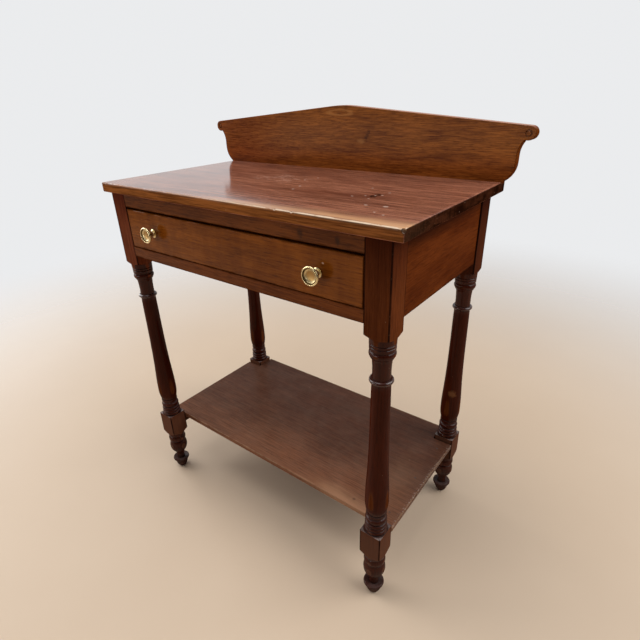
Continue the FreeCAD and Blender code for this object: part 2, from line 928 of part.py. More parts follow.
def drawer_panel(play):
    """Bottom board, bevelled underneath where it enters the grooves."""
    side = half_inside + panel_tongue - play
    front = drawer_front_back - panel_tongue + play
    full = board(-side, side, front, drawer_rear, groove_top - panel_thickness, groove_top)
    drop = panel_thickness - panel_edge
    bevel = panel_tongue + panel_bevel
    low = groove_top - panel_thickness
    side_cut = [
        vector(side, front, low),
        vector(side, front, low + drop),
        vector(side - panel_tongue, front, low + drop),
        vector(side - bevel, front, low),
    ]
    front_cut = [
        vector(-side, front, low),
        vector(-side, front, low + drop),
        vector(-side, front + panel_tongue, low + drop),
        vector(-side, front + bevel, low),
    ]
    side_bevel = prism(side_cut, vector(0, drawer_rear - front, 0))
    front_bevel = prism(front_cut, vector(2 * side, 0, 0))
    corner = board(half_inside - play, side, front, drawer_front_back + play, low, groove_top)
    return full.cut([side_bevel, mirrored(side_bevel), front_bevel, corner, mirrored(corner)])


def knob_places():
    return spread(2, knob_spacing / 2)


def knob_screws():
    screw = knob_screw()
    screw.rotate(vector(0, 0, 0), vector(1, 0, 0), 90)
    return [moved(screw, x, drawer_front_back, knob_height) for x in knob_places()]


def build_drawer_box():
    front = board(-half_drawer, half_drawer, front_face, drawer_front_back,
                  drawer_front_bottom, drawer_front_top)
    front = rounded(front, drawer_front_round, is_drawer_face_edge)
    sockets = front_tails()
    sockets.extend([mirrored(tail) for tail in front_tails()])
    groove_front = drawer_front_back - panel_tongue
    groove = board(-half_inside, half_inside, groove_front, drawer_front_back, groove_bottom, groove_top)
    sockets.append(groove)
    back_of_front = vector(0, -1, 0)
    for x in knob_places():
        start = vector(x, drawer_front_back, knob_height)
        hole_radius = knob_screw_radius + knob_screw_play
        hole = Part.makeCylinder(hole_radius, drawer_front_thickness, start, back_of_front)
        sockets.append(hole)
    save("drawer_front", front.cut(sockets))

    side = board(half_inside, half_drawer, drawer_front_back, drawer_rear, opening_bottom, drawer_side_top)
    side = side.fuse(front_tails()).removeSplitter()
    back_start = drawer_rear - drawer_back_thickness
    corner = board(half_inside, half_drawer, back_start, drawer_rear, groove_top, drawer_back_top)
    side = side.cut(corner.cut(rear_tails()))
    groove = board(half_inside, half_inside + panel_tongue, drawer_front_back, drawer_rear,
                   groove_bottom, groove_top)
    side = side.cut(groove)
    save("drawer_side_right", side)
    save("drawer_side_left", mirrored(side))

    back = board(-half_drawer, half_drawer, back_start, drawer_rear, groove_top, drawer_back_top)
    pockets = rear_tails()
    pockets.extend([mirrored(tail) for tail in rear_tails()])
    pockets.extend(panel_nails())
    save("drawer_back", back.cut(pockets))

    save("drawer_bottom", drawer_panel(panel_play).cut(panel_nails()))
    save("drawer_bottom_nails", Part.makeCompound(panel_nails()))


def is_drawer_face_edge(edge):
    return edge.BoundBox.YMax < front_face + 0.01


def turned_knob():
    """Turned brass knob along +Z: base collar, stem and a dished face inside a ring and a raised rim."""
    edge_low = knob_projection - knob_edge
    form = Turning()
    form.line(knob_collar_radius, 0)
    form.line(knob_collar_radius, knob_collar_edge)
    form.line_to(knob_stem_radius + knob_flare, knob_collar_height)
    form.curve(knob_stem_radius, knob_stem_height / 2, knob_stem_radius + knob_flare, knob_stem_height)
    form.line_to(knob_radius - knob_back_round, edge_low)
    edge_rise = knob_edge * knob_edge_share
    form.curve(knob_radius, edge_rise / 2, knob_radius - knob_edge_round, edge_rise)
    rim_outer = knob_radius - knob_edge_round
    rim_inner = knob_radius - knob_rim
    form.curve((rim_outer + rim_inner) / 2, knob_projection - form.height, rim_inner, 0)
    groove_outer = rim_inner - knob_rim_slope
    form.line(groove_outer, -knob_rim_depth)
    ring_outer = groove_outer - knob_groove
    form.line(ring_outer, 0)
    form.curve(ring_outer - knob_ring / 2, knob_ring_height, ring_outer - knob_ring, 0)
    form.dish(knob_dish)
    knob = form.solid()
    return knob.cut(Part.makeCylinder(knob_screw_radius, knob_bore_depth))


def build_knobs():
    knob = turned_knob()
    knob.rotate(vector(0, 0, 0), vector(1, 0, 0), 90)
    left, right = [moved(knob, x, front_face, knob_height) for x in knob_places()]
    save("knob_left", left)
    save("knob_right", right)
    save("knob_screws", Part.makeCompound(knob_screws()))


os.makedirs("parts", exist_ok=True)
build_legs()
build_top()
build_backsplash()
build_rails()
build_aprons()
build_bearings()
build_blocks()
build_shelf()
build_drawer_box()
build_knobs()
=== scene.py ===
# %% [markdown]
# # A washstand with one drawer
# The stand is old varnished wood: a top board with a gabled backsplash, a shallow drawer with two
# brass knobs, four turned legs and a low shelf. Its solids come from the imported model, so this
# lesson is about what they are made of.

# %% Load the imported stand
import math

import bpy
from mathutils import Euler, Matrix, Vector


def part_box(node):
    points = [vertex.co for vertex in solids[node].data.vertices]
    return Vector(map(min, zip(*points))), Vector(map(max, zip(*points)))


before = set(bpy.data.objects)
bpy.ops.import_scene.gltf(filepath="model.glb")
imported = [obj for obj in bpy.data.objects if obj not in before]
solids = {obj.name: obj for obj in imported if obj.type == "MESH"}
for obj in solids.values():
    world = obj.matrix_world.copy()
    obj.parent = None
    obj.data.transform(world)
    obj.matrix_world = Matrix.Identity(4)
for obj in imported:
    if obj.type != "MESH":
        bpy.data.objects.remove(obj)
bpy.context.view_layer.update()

# %% [markdown]
# ## Small tools for node trees
# A material is a tree of nodes. Adding and linking nodes by hand takes many lines, so a few helpers
# do it: one adds a node, one sets or links an input, and the others stand for the sums, mixes,
# ranges and noises that are used most.

# %% Helpers: nodes and sums
def wire(tree, value, socket):
    """Links a socket to the input, or sets a plain value on it."""
    if isinstance(value, bpy.types.NodeSocket):
        tree.links.new(value, socket)
    else:
        socket.default_value = value


def add(tree, kind, inputs, **settings):
    """A new shader node with its settings and inputs."""
    made = tree.nodes.new("ShaderNode" + kind)
    for name, value in settings.items():
        setattr(made, name, value)
    for name, value in inputs.items():
        wire(tree, value, made.inputs[name])
    return made


def calc(tree, operation, first, second=0.0):
    """One sum on numbers."""
    return add(tree, "Math", {0: first, 1: second}, operation=operation).outputs[0]


def times(tree, first, second):
    return calc(tree, "MULTIPLY", first, second)


def plus(tree, first, second):
    return calc(tree, "ADD", first, second)


def minus(tree, first, second):
    return calc(tree, "SUBTRACT", first, second)


def place_calc(tree, operation, first, second=(0, 0, 0)):
    """One sum on places."""
    return add(tree, "VectorMath", {0: first, 1: second}, operation=operation).outputs["Vector"]


def distance(tree, place):
    """How far a place is from the origin."""
    return add(tree, "VectorMath", {0: place}, operation="LENGTH").outputs["Value"]


def split(tree, vector):
    """The X, Y and Z parts of a place or a direction."""
    return add(tree, "SeparateXYZ", {0: vector}).outputs


def facing(tree):
    """The X, Y and Z parts of the direction that the surface faces."""
    return split(tree, add(tree, "NewGeometry", {}).outputs["Normal"])


print("helpers for nodes and sums ready")

# %% Helpers: mixes, ranges and noise
def blend(tree, share, first, second, kind="MIX"):
    """Two colours mixed by a share."""
    made = add(tree, "Mix", {0: share, 6: first, 7: second}, data_type="RGBA", blend_type=kind)
    return made.outputs[2]


def span(tree, value, low, high, start=0.0, end=1.0):
    """A smooth step from start to end while the value runs from low to high."""
    inputs = {"Value": value, "From Min": low, "From Max": high, "To Min": start, "To Max": end}
    return add(tree, "MapRange", inputs, interpolation_type="SMOOTHSTEP").outputs["Result"]


def between(tree, value, low, high, fade):
    """1 from low to high, fading to 0 below and above."""
    return times(tree, span(tree, value, low - fade, low),
                 span(tree, value, high, high + fade, 1.0, 0.0))


def noise(tree, place, scale, detail=3.0, rough=0.55):
    """Cloudy noise between 0 and 1."""
    inputs = {"Vector": place, "Scale": scale, "Detail": detail, "Roughness": rough}
    return add(tree, "TexNoise", inputs).outputs["Fac"]


def drawn_out(tree, place, waves, detail=3.0, rough=0.55):
    """Noise with its own number of waves in a metre along each axis."""
    return noise(tree, place_calc(tree, "MULTIPLY", place, waves), 1.0, detail, rough)


print("helpers for mixes, ranges and noise ready")

# %% Helpers: node groups
def group(name, inputs, outputs):
    """An empty shader node group with named sockets."""
    tree = bpy.data.node_groups.new(name, "ShaderNodeTree")
    for label, kind, value in inputs:
        socket = tree.interface.new_socket(label, in_out="INPUT", socket_type="NodeSocket" + kind)
        socket.default_value = value
    for label, kind in outputs:
        tree.interface.new_socket(label, in_out="OUTPUT", socket_type="NodeSocket" + kind)
    start = tree.nodes.new("NodeGroupInput").outputs
    end = tree.nodes.new("NodeGroupOutput").inputs
    return tree, start, end


def place_group(tree, used, inputs):
    """Puts a group into a tree with its inputs, and gives its outputs."""
    made = tree.nodes.new("ShaderNodeGroup")
    made.node_tree = used
    for name, value in inputs.items():
        wire(tree, value, made.inputs[name])
    return made.outputs


print("helpers for node groups ready")

# %% [markdown]
# ## Figure of sawn wood
# A tree grows in rings round its heart, and a board shows where the saw crossed them. An image
# could give that, but it would stretch over the turned legs. Here the rings are worked out in
# space: the distance from the heart line, bent by slow noise, drives a noise of one dimension, so
# the bands are as uneven as years are. Finer noise drawn out along the grain adds fibres, dark
# flecks and pores. The grain runs along X in this group, and each material turns its own piece to
# suit.

# %% Growth rings
SLOW_BEND = (2.2, 7.0, 7.0)
ACROSS_GRAIN = (0.0, 1.0, 1.0)


def growth_rings(tree, start):
    """Uneven bands round the heart line, each ring with a darker late edge."""
    slow = place_calc(tree, "MULTIPLY", start["Place"], SLOW_BEND)
    bend = add(tree, "TexNoise", {"Vector": slow, "Scale": 1.0, "Detail": 2.0}).outputs["Color"]
    centred = place_calc(tree, "SUBTRACT", bend, (0.5, 0.5, 0.5))
    wander = {0: centred, "Scale": start["Wander"]}
    scaled = add(tree, "VectorMath", wander, operation="SCALE").outputs["Vector"]
    bent = place_calc(tree, "ADD", start["Place"], scaled)
    from_heart = place_calc(tree, "SUBTRACT", bent, start["Heart"])
    reach = distance(tree, place_calc(tree, "MULTIPLY", from_heart, ACROSS_GRAIN))
    turns = calc(tree, "DIVIDE", reach, start["Ring gap"])
    years = {"W": turns, "Scale": 1.0, "Detail": 3.0, "Roughness": 0.6}
    uneven = add(tree, "TexNoise", years, noise_dimensions="1D").outputs["Fac"]
    bands = span(tree, uneven, 0.25, 0.75)
    late = calc(tree, "POWER", calc(tree, "FRACT", turns), 3.0)
    return plus(tree, times(tree, bands, 0.8), times(tree, late, 0.2))


print("growth rings ready")

# %% Group: sawn wood
# Waves in a metre along the grain and in the two directions across it.
CLEAR_PATCHES = (3.0, 20.0, 20.0)
FIBRE_LINES = (16.0, 420.0, 420.0)
BLOTCH_CLOUDS = (6.0, 16.0, 16.0)
FLECK_DASHES = (38.0, 520.0, 520.0)
PORE_DASHES = (70.0, 1500.0, 1500.0)
MIDDLE_TONE = 0.45
FLECK_SHADE = (0.4, 0.32, 0.28, 1)
PORE_BLACK = (0.004, 0.0015, 0.001, 1)


def swing(tree, value, amount):
    """A noise spread evenly about 0 and scaled by the amount."""
    return times(tree, minus(tree, span(tree, value, 0.3, 0.7), 0.5), amount)


def make_sawn_wood():
    tree, start, end = group(
        "sawn_wood",
        [("Place", "Vector", (0, 0, 0)), ("Heart", "Vector", (0, 0.02, -0.12)),
         ("Ring gap", "Float", 0.006), ("Wander", "Float", 0.02), ("Contrast", "Float", 0.5),
         ("Fibres", "Float", 0.5), ("Blotches", "Float", 0.5), ("Flecks", "Float", 0.4),
         ("Pores", "Float", 0.5), ("Pale", "Color", (0.3, 0.12, 0.04, 1)),
         ("Dark", "Color", (0.1, 0.03, 0.01, 1))],
        [("Colour", "Color"), ("Tone", "Float"), ("Pore", "Float")])
    place = start["Place"]
    ring = growth_rings(tree, start)
    clear = span(tree, drawn_out(tree, place, CLEAR_PATCHES, 2.0), 0.3, 0.65, 0.3, 1.0)
    clear = times(tree, clear, start["Contrast"])
    tone = times(tree, minus(tree, ring, MIDDLE_TONE), clear)
    fibre = swing(tree, drawn_out(tree, place, FIBRE_LINES, 4.0, 0.6), start["Fibres"])
    blotch = swing(tree, drawn_out(tree, place, BLOTCH_CLOUDS, 5.0, 0.6), start["Blotches"])
    tone = plus(tree, plus(tree, tone, fibre), plus(tree, blotch, MIDDLE_TONE))
    tone = add(tree, "Clamp", {"Value": tone}).outputs[0]
    fleck = span(tree, drawn_out(tree, place, FLECK_DASHES, 2.0), 0.52, 0.72)
    fleck = times(tree, fleck, start["Flecks"])
    dash = span(tree, drawn_out(tree, place, PORE_DASHES, 1.0), 0.56, 0.72)
    dash = times(tree, dash, span(tree, ring, 0.2, 0.9, 0.4, 1.0))
    pore = times(tree, dash, start["Pores"])
    colour = blend(tree, tone, start["Pale"], start["Dark"])
    shade = blend(tree, 1.0, start["Dark"], FLECK_SHADE, "MULTIPLY")
    colour = blend(tree, fleck, colour, shade)
    colour = blend(tree, times(tree, pore, 0.75), colour, PORE_BLACK)
    wire(tree, colour, end["Colour"])
    wire(tree, tone, end["Tone"])
    wire(tree, calc(tree, "MAXIMUM", pore, times(tree, fleck, 0.5)), end["Pore"])
    return tree


sawn_wood = make_sawn_wood()
print("group:", sawn_wood.name)

# %% [markdown]
# ## Wear, dirt and marks
# Hands and cloths rub a board's edges pale, and wax and dust settle where nothing rubs. The edges
# of a board are known from its box, so the wear is measured from the box's edges and broken up by
# noise. In the turned rings the shape is too fine for that, so there the dirt follows how shut in
# a point is. Knots, stains and nicks are placed one by one with a ragged spot, and fine scratches
# are scattered. Each of these is a group, because several materials use it.

# %% Groups: worn edges
def make_edge_wear():
    """Wear where a point is near two sides of a box at once, which is at its edges."""
    tree, start, end = group(
        "edge_wear",
        [("Place", "Vector", (0, 0, 0)), ("Middle", "Vector", (0, 0, 0)),
         ("Half", "Vector", (1, 1, 1)), ("Reach", "Float", 0.004), ("Break up", "Float", 40.0)],
        [("Wear", "Float")])
    away = place_calc(tree, "SUBTRACT", start["Place"], start["Middle"])
    aside = place_calc(tree, "ABSOLUTE", away)
    gap_x, gap_y, gap_z = split(tree, place_calc(tree, "SUBTRACT", start["Half"], aside))
    low = calc(tree, "MINIMUM", gap_x, gap_y)
    high = calc(tree, "MAXIMUM", gap_x, gap_y)
    second = calc(tree, "MAXIMUM", low, calc(tree, "MINIMUM", high, gap_z))
    ragged = noise(tree, start["Place"], start["Break up"], 4.0, 0.65)
    limit = times(tree, start["Reach"], span(tree, ragged, 0.3, 0.7, 0.15, 1.6))
    share = calc(tree, "DIVIDE", second, calc(tree, "MAXIMUM", limit, 0.0001))
    wire(tree, span(tree, share, 0.2, 1.0, 1.0, 0.0), end["Wear"])
    return tree


edge_wear = make_edge_wear()
print("group:", edge_wear.name)

# %% Groups: dirt in hollows and dust
HOLLOW_REACH = 0.012


def make_hollow_dirt():
    tree, start, end = group(
        "hollow_dirt",
        [("Place", "Vector", (0, 0, 0)), ("Amount", "Float", 1.0)],
        [("Dirt", "Float")])
    near = {"Distance": HOLLOW_REACH}
    shut = add(tree, "AmbientOcclusion", near, samples=6, only_local=True).outputs["AO"]
    dirt = span(tree, shut, 0.35, 0.85, 1.0, 0.0)
    ragged = span(tree, noise(tree, start["Place"], 90.0, 3.0), 0.3, 0.65, 0.45, 1.0)
    dirt = times(tree, dirt, ragged)
    wire(tree, times(tree, dirt, start["Amount"]), end["Dirt"])
    return tree


def make_dust():
    tree, start, end = group(
        "dust",
        [("Place", "Vector", (0, 0, 0)), ("Amount", "Float", 0.5)],
        [("Dust", "Float")])
    up = span(tree, facing(tree)[2], 0.35, 0.95)
    cloud = span(tree, noise(tree, start["Place"], 22.0, 6.0, 0.7), 0.3, 0.75)
    fine = span(tree, noise(tree, start["Place"], 700.0, 2.0), 0.45, 0.7)
    both = plus(tree, times(tree, cloud, 0.7), times(tree, fine, 0.3))
    both = times(tree, both, up)
    wire(tree, times(tree, both, start["Amount"]), end["Dust"])
    return tree


hollow_dirt = make_hollow_dirt()
dust = make_dust()
print("groups:", hollow_dirt.name, dust.name)

# %% Groups: spots and marks
SCRATCH_WAVES = (9.0, 420.0, 420.0)
SCRATCH_AXIS = (0.2, 0.3, 1.0)


def make_spot():
    """A ragged round mark at one place."""
    tree, start, end = group(
        "spot",
        [("Place", "Vector", (0, 0, 0)), ("Centre", "Vector", (0, 0, 0)),
         ("Size", "Vector", (0.01, 0.01, 0.01)), ("Ragged", "Float", 0.35), ("Soft", "Float", 0.4)],
        [("Spot", "Float"), ("Distance", "Float")])
    away = place_calc(tree, "SUBTRACT", start["Place"], start["Centre"])
    scaled = place_calc(tree, "DIVIDE", away, start["Size"])
    ragged = minus(tree, noise(tree, scaled, 1.6, 3.0), 0.5)
    far = plus(tree, distance(tree, scaled), times(tree, ragged, start["Ragged"]))
    edge = minus(tree, 1.0, start["Soft"])
    wire(tree, span(tree, far, edge, 1.0, 1.0, 0.0), end["Spot"])
    wire(tree, far, end["Distance"])
    return tree


def make_marks():
    """Fine scratches at a slant, and scattered nicks."""
    tree, start, end = group(
        "marks",
        [("Place", "Vector", (0, 0, 0)), ("Amount", "Float", 0.5)],
        [("Scratches", "Float"), ("Nicks", "Float")])
    place = start["Place"]
    cells = add(tree, "TexVoronoi", {"Vector": place, "Scale": 85.0, "Randomness": 1.0}).outputs
    dot = span(tree, cells["Distance"], 0.04, 0.1, 1.0, 0.0)
    chance = add(tree, "SeparateColor", {0: cells["Color"]}).outputs[0]
    nick = times(tree, dot, span(tree, chance, 0.86, 0.9))
    wire(tree, times(tree, nick, start["Amount"]), end["Nicks"])
    slant = add(tree, "VectorRotate", {"Vector": place, "Axis": SCRATCH_AXIS, "Angle": 0.5})
    thin = span(tree, drawn_out(tree, slant.outputs[0], SCRATCH_WAVES, 2.0, 0.4), 0.66, 0.72)
    patch = span(tree, noise(tree, place, 6.0, 2.0), 0.45, 0.7)
    scratch = times(tree, times(tree, thin, patch), start["Amount"])
    wire(tree, scratch, end["Scratches"])
    return tree


round_spot = make_spot()
marks = make_marks()
print("groups:", round_spot.name, marks.name)

# %% [markdown]
# ## Old varnished wood
# Every wooden piece has the same build-up: sawn wood, stained by age, under a worn coat of varnish.
# Each could have a tree of its own, but the class below makes that build-up once. What differs,
# such as colours, grain direction, gloss and marks, is given by each piece. The varnish is the
# shader's coat, so that it mirrors sharply over the duller wood.

# %% Varnished wood
GRAIN_TURN = {"X": (0, 0, 0), "Y": (0, 0, -math.pi / 2), "Z": (0, math.pi / 2, 0)}
GLOSS_VARIATION = 0.12
RIPPLE_WAVES = (14.0, 60.0, 60.0)
RELIEF_HEIGHT = 0.001


class WoodFinish:
    """A material in the making: its place in space, and its colour, roughness and height so far."""

    def __init__(self, name, grain, figure, fineness=1.0):
        self.material = bpy.data.materials.new(name)
        self.material.use_nodes = True
        self.tree = self.material.node_tree
        self.shader = self.tree.nodes["Principled BSDF"]
        self.place = add(self.tree, "TexCoord", {}).outputs["Object"]
        turn = {"Vector": self.place, "Rotation": GRAIN_TURN[grain], "Scale": (fineness,) * 3}
        self.along = add(self.tree, "Mapping", turn).outputs["Vector"]
        wood = place_group(self.tree, sawn_wood, {"Place": self.along, **figure})
        self.colour = wood["Colour"]
        self.tone = wood["Tone"]
        self.rough = None
        self.coat = 0.0
        self.height = times(self.tree, wood["Pore"], -0.5)

    def mask(self, used, inputs):
        """Places one of the groups of wear and marks, and gives its outputs."""
        return place_group(self.tree, used, {"Place": self.place, **inputs})

    def spot(self, centre, size, ragged, soft=0.4):
        """A ragged round mark: its mask, Spot, and how far out a point is, Distance."""
        inputs = {"Centre": centre, "Size": size, "Ragged": ragged, "Soft": soft}
        return self.mask(round_spot, inputs)

    def paint(self, mask, colour, share=1.0):
        """Covers the masked part with a colour."""
        part = times(self.tree, mask, share)
        self.colour = blend(self.tree, part, self.colour, colour)

    def tint(self, mask, colour, share=1.0):
        """Multiplies the masked part by a colour."""
        part = times(self.tree, mask, share)
        self.colour = blend(self.tree, part, self.colour, colour, "MULTIPLY")

    def dull(self, mask, amount):
        """Makes the masked part rougher."""
        self.rough = plus(self.tree, self.rough, times(self.tree, mask, amount))

    def strip(self, mask, share=1.0):
        """Takes the varnish off the masked part."""
        kept = minus(self.tree, 1.0, times(self.tree, mask, share))
        self.coat = times(self.tree, kept, self.coat)

    def sink(self, mask, depth):
        """Lowers the masked part in the bump height, in millimetres."""
        self.height = minus(self.tree, self.height, times(self.tree, mask, depth))

    def gloss(self, rough, coat, coat_rough, coat_ior=1.4, specular=0.0):
        """Sets the roughness of the wood, and the varnish over it."""
        cloud = minus(self.tree, noise(self.tree, self.place, 14.0, 4.0, 0.6), 0.5)
        self.rough = plus(self.tree, times(self.tree, cloud, GLOSS_VARIATION), rough)
        self.coat = coat
        self.shader.inputs["Coat Roughness"].default_value = coat_rough
        self.shader.inputs["Coat IOR"].default_value = coat_ior
        self.shader.inputs["Specular IOR Level"].default_value = specular

    def finish(self, bump):
        """Links what was gathered to the shader."""
        tree = self.tree
        wire(tree, self.colour, self.shader.inputs["Base Color"])
        wire(tree, self.coat, self.shader.inputs["Coat Weight"])
        rough = add(tree, "Clamp", {"Value": self.rough}).outputs[0]
        wire(tree, rough, self.shader.inputs["Roughness"])
        ripple = drawn_out(tree, self.along, RIPPLE_WAVES, 3.0)
        height = plus(tree, self.height, times(tree, ripple, 0.35))
        inputs = {"Height": height, "Strength": bump, "Distance": RELIEF_HEIGHT}
        relief = add(tree, "Bump", inputs).outputs["Normal"]
        wire(tree, relief, self.shader.inputs["Normal"])
        return self.material


print("wood finish ready")

# %% Helpers: dressing the solids
def dress(material, *names):
    """Puts the material on CAD nodes."""
    for name in names:
        materials = solids[name].data.materials
        materials.clear()
        materials.append(material)


def board_box(name):
    """A board's middle and half its size, for the worn edges."""
    low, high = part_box(name)
    return {"Middle": (low + high) / 2, "Half": (high - low) / 2}


print("dressing helpers ready")

# %% [markdown]
# ## Top board
# The top is one wide reddish board, glossy enough to mirror the backsplash, with dark streaks along
# it and a few darker clouds. One noise could make both, but then the clouds would lie anywhere, so
# the streaks are noise drawn out along the board and the clouds are soft spots placed one by one.

# %% Top board: wood, varnish and streaks
TOP_FIGURE = {"Heart": (0.0, 0.3, 0.45), "Ring gap": 0.016, "Wander": 0.07, "Contrast": 0.4,
              "Fibres": 1.0, "Blotches": 0.4, "Flecks": 0.6, "Pores": 0.45,
              "Pale": (0.405, 0.16, 0.094, 1), "Dark": (0.125, 0.042, 0.028, 1)}
SPOT_DEPTH = 0.05
STREAK_WAVES = (2.6, 48.0, 48.0)
STREAK_TINT = (0.5, 0.36, 0.34, 1)
CLOUD_TINT = (0.48, 0.36, 0.38, 1)
# Centre and size of each dark cloud from above, and its strength.
TOP_CLOUDS = (((0.12, -0.05), (0.16, 0.045), 0.7), ((0.2, -0.025), (0.07, 0.035), 0.55),
              ((-0.06, -0.09), (0.12, 0.03), 0.45), ((-0.02, 0.1), (0.12, 0.03), 0.4))

top_low, top_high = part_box("top_board")
top = WoodFinish("top_wood", "X", TOP_FIGURE)
tree = top.tree
top.gloss(rough=0.36, coat=0.95, coat_rough=0.13, coat_ior=1.5)
top_x, top_y, top_z = split(tree, top.place)
top_streaks = span(tree, drawn_out(tree, top.place, STREAK_WAVES, 4.0, 0.6), 0.48, 0.72)
top.tint(top_streaks, STREAK_TINT, 0.4)
for centre, size, share in TOP_CLOUDS:
    cloud = top.spot((*centre, top_high.z), (*size, SPOT_DEPTH), ragged=1.6, soft=0.95)
    top.tint(cloud["Spot"], CLOUD_TINT, share)
print("top board: streaks and", len(TOP_CLOUDS), "clouds")

# %% [markdown]
# ## Rubbed front edge of the top
# Along the front the varnish is rubbed through to pale wood, most of all towards the right, where
# the arris is painted nearly white: worn wood with a painted highlight along it. A plain band would
# look like paint. Here its width grows to the right, noise makes it ragged, and the dark streaks of
# the board still show through it.

# %% Top board: rubbed front edge
RUB_WAVES = (7.0, 60.0, 60.0)
RUBBED_WOOD = (0.62, 0.33, 0.16, 1)
PALE_ARRIS_AND_HIGHLIGHT = (0.85, 0.68, 0.5, 1)

from_front = minus(tree, top_y, top_low.y)
ragged = minus(tree, drawn_out(tree, top.place, RUB_WAVES, 4.0, 0.65), 0.5)
band = plus(tree, from_front, times(tree, ragged, 0.04))
width = span(tree, top_x, -0.2, 0.3, 0.008, 0.042)
rubbed = span(tree, calc(tree, "DIVIDE", band, width), 0.1, 1.0, 1.0, 0.0)
rubbed = times(tree, rubbed, span(tree, top_x, -0.3, 0.25, 0.15, 1.0))
rubbed = times(tree, rubbed, span(tree, top_streaks, 0.0, 1.0, 1.0, 0.45))
upper_side = span(tree, top_z, top_high.z - 0.005, top_high.z - 0.002)
top.paint(times(tree, rubbed, upper_side), RUBBED_WOOD)
wear = top.mask(edge_wear, {**board_box("top_board"), "Reach": 0.003})["Wear"]
front_side = span(tree, from_front, 0.004, 0.012, 1.0, 0.0)
arris = times(tree, wear, times(tree, front_side, upper_side))
# The pale arris line is worn wood and a painted highlight.
top.paint(arris, PALE_ARRIS_AND_HIGHLIGHT, span(tree, top_x, -0.1, 0.2, 0.2, 0.9))
top.strip(arris, 0.8)
top.strip(span(tree, top_x, top_high.x - 0.007, top_high.x - 0.002), 0.7)
top.strip(span(tree, top_z, top_high.z - 0.002, top_high.z - 0.005))
print("top board: front edge rubbed")

# %% [markdown]
# ## Edges of the top
# The ends show end grain, dark and rough with upright saw marks, a little browner near the front
# corner. The front edge is long grain, darker than the rubbed band above it. Separate materials
# would need faces picked by hand, so the way the surface faces chooses between them.

# %% Top board: sawn ends and front edge
SAW_WAVES = (10.0, 420.0, 25.0)
END_PATCH_WAVES = (10.0, 26.0, 90.0)
END_GRAIN_DARK = (0.013, 0.0036, 0.0015, 1)
END_GRAIN_PALE = (0.055, 0.017, 0.0075, 1)
CORNER_BROWN = (0.045, 0.022, 0.011, 1)
FRONT_EDGE_PALE = (0.28, 0.092, 0.019, 1)
FRONT_EDGE_DARK = (0.08, 0.025, 0.006, 1)

face_x, face_y, _ = facing(tree)
end_face = span(tree, calc(tree, "ABSOLUTE", face_x), 0.6, 0.9)
saw = drawn_out(tree, top.place, SAW_WAVES)
patch = drawn_out(tree, top.place, END_PATCH_WAVES, 4.0, 0.65)
rough_end = plus(tree, times(tree, saw, 0.35), times(tree, patch, 0.65))
end_colour = blend(tree, span(tree, rough_end, 0.4, 0.62), END_GRAIN_DARK, END_GRAIN_PALE)
near_corner = span(tree, top_y, top_low.y + 0.1, top_low.y + 0.02)
end_colour = blend(tree, times(tree, near_corner, 0.4), end_colour, CORNER_BROWN)
top.paint(end_face, end_colour)
top.dull(end_face, 0.25)
top.strip(end_face)
top.sink(times(tree, end_face, saw), 0.8)
front_face = span(tree, times(tree, face_y, -1.0), 0.75, 0.97)
top.paint(front_face, blend(tree, top.tone, FRONT_EDGE_PALE, FRONT_EDGE_DARK), 0.9)
top.strip(front_face, 0.6)
print("top board: ends and front edge")

# %% [markdown]
# ## Marks on the top
# There is a dark knot right of the middle with pale nicks in and round it, a dry scuffed place to
# the left of it, more nicks towards the front, and a chipped corner. Scattered noise would put them
# anywhere, so each has its own spot, and only the finest marks are scattered.

# %% Top board: knot, scuff and nicks
KNOT_BROWN = (0.03, 0.01, 0.007, 1)
KNOT_RIM = (0.008, 0.003, 0.003, 1)
THREAD_WAVES = (30.0, 300.0, 300.0)
SCUFF_PALE = (0.7, 0.42, 0.32, 1)
TOP_NICK = (0.62, 0.48, 0.4, 1)
# Place from above, and size.
TOP_NICKS = (((0.252, -0.086), 0.005), ((0.222, -0.0905), 0.0035), ((0.164, 0.024), 0.0025),
             ((0.043, -0.02), 0.0035), ((0.05, -0.047), 0.0032), ((0.17, -0.047), 0.0025),
             ((0.255, -0.122), 0.0025), ((0.02, 0.062), 0.0025), ((0.012, 0.033), 0.0025),
             ((0.273, -0.13), 0.0025), ((0.209, 0.002), 0.003), ((0.187, -0.035), 0.0022),
             ((0.199, -0.026), 0.0022), ((0.208, -0.02), 0.0024), ((0.203, -0.052), 0.0022))


def outline(tree, far, radius, thin, wide):
    """A line round a spot, at a distance of radius from its centre."""
    return span(tree, calc(tree, "ABSOLUTE", minus(tree, far, radius)), thin, wide, 1.0, 0.0)


knot = top.spot((0.2, -0.027, top_high.z), (0.008, 0.017, 0.02), ragged=0.7, soft=0.6)
rim = outline(tree, knot["Distance"], 0.62, 0.05, 0.3)
top.paint(knot["Spot"], KNOT_BROWN, 0.6)
top.paint(rim, KNOT_RIM, 0.9)
top.strip(rim, 0.5)
scuff = top.spot((-0.045, 0.03, top_high.z), (0.1, 0.055, SPOT_DEPTH), ragged=0.9, soft=0.8)["Spot"]
threads = span(tree, drawn_out(tree, top.place, THREAD_WAVES, 3.0, 0.6), 0.52, 0.66)
top.paint(times(tree, scuff, threads), SCUFF_PALE, 0.8)
top.dull(scuff, 0.12)
for centre, size in TOP_NICKS:
    nick = top.spot((*centre, top_high.z), (size, size * 0.7, size), ragged=0.9)["Spot"]
    top.paint(nick, TOP_NICK, 0.9)
    top.dull(nick, 0.3)
print("top board: knot, scuff and", len(TOP_NICKS), "nicks")

# %% Top board: chipped corner and fine marks
CHIP_SIZE = 0.0042
CHIP_DARK = (0.02, 0.012, 0.008, 1)
CHIP_CRUMBS = (0.3, 0.23, 0.18, 1)
TOP_FINE_NICK = (0.45, 0.3, 0.22, 1)
TOP_SCRATCH = (0.4, 0.22, 0.15, 1)

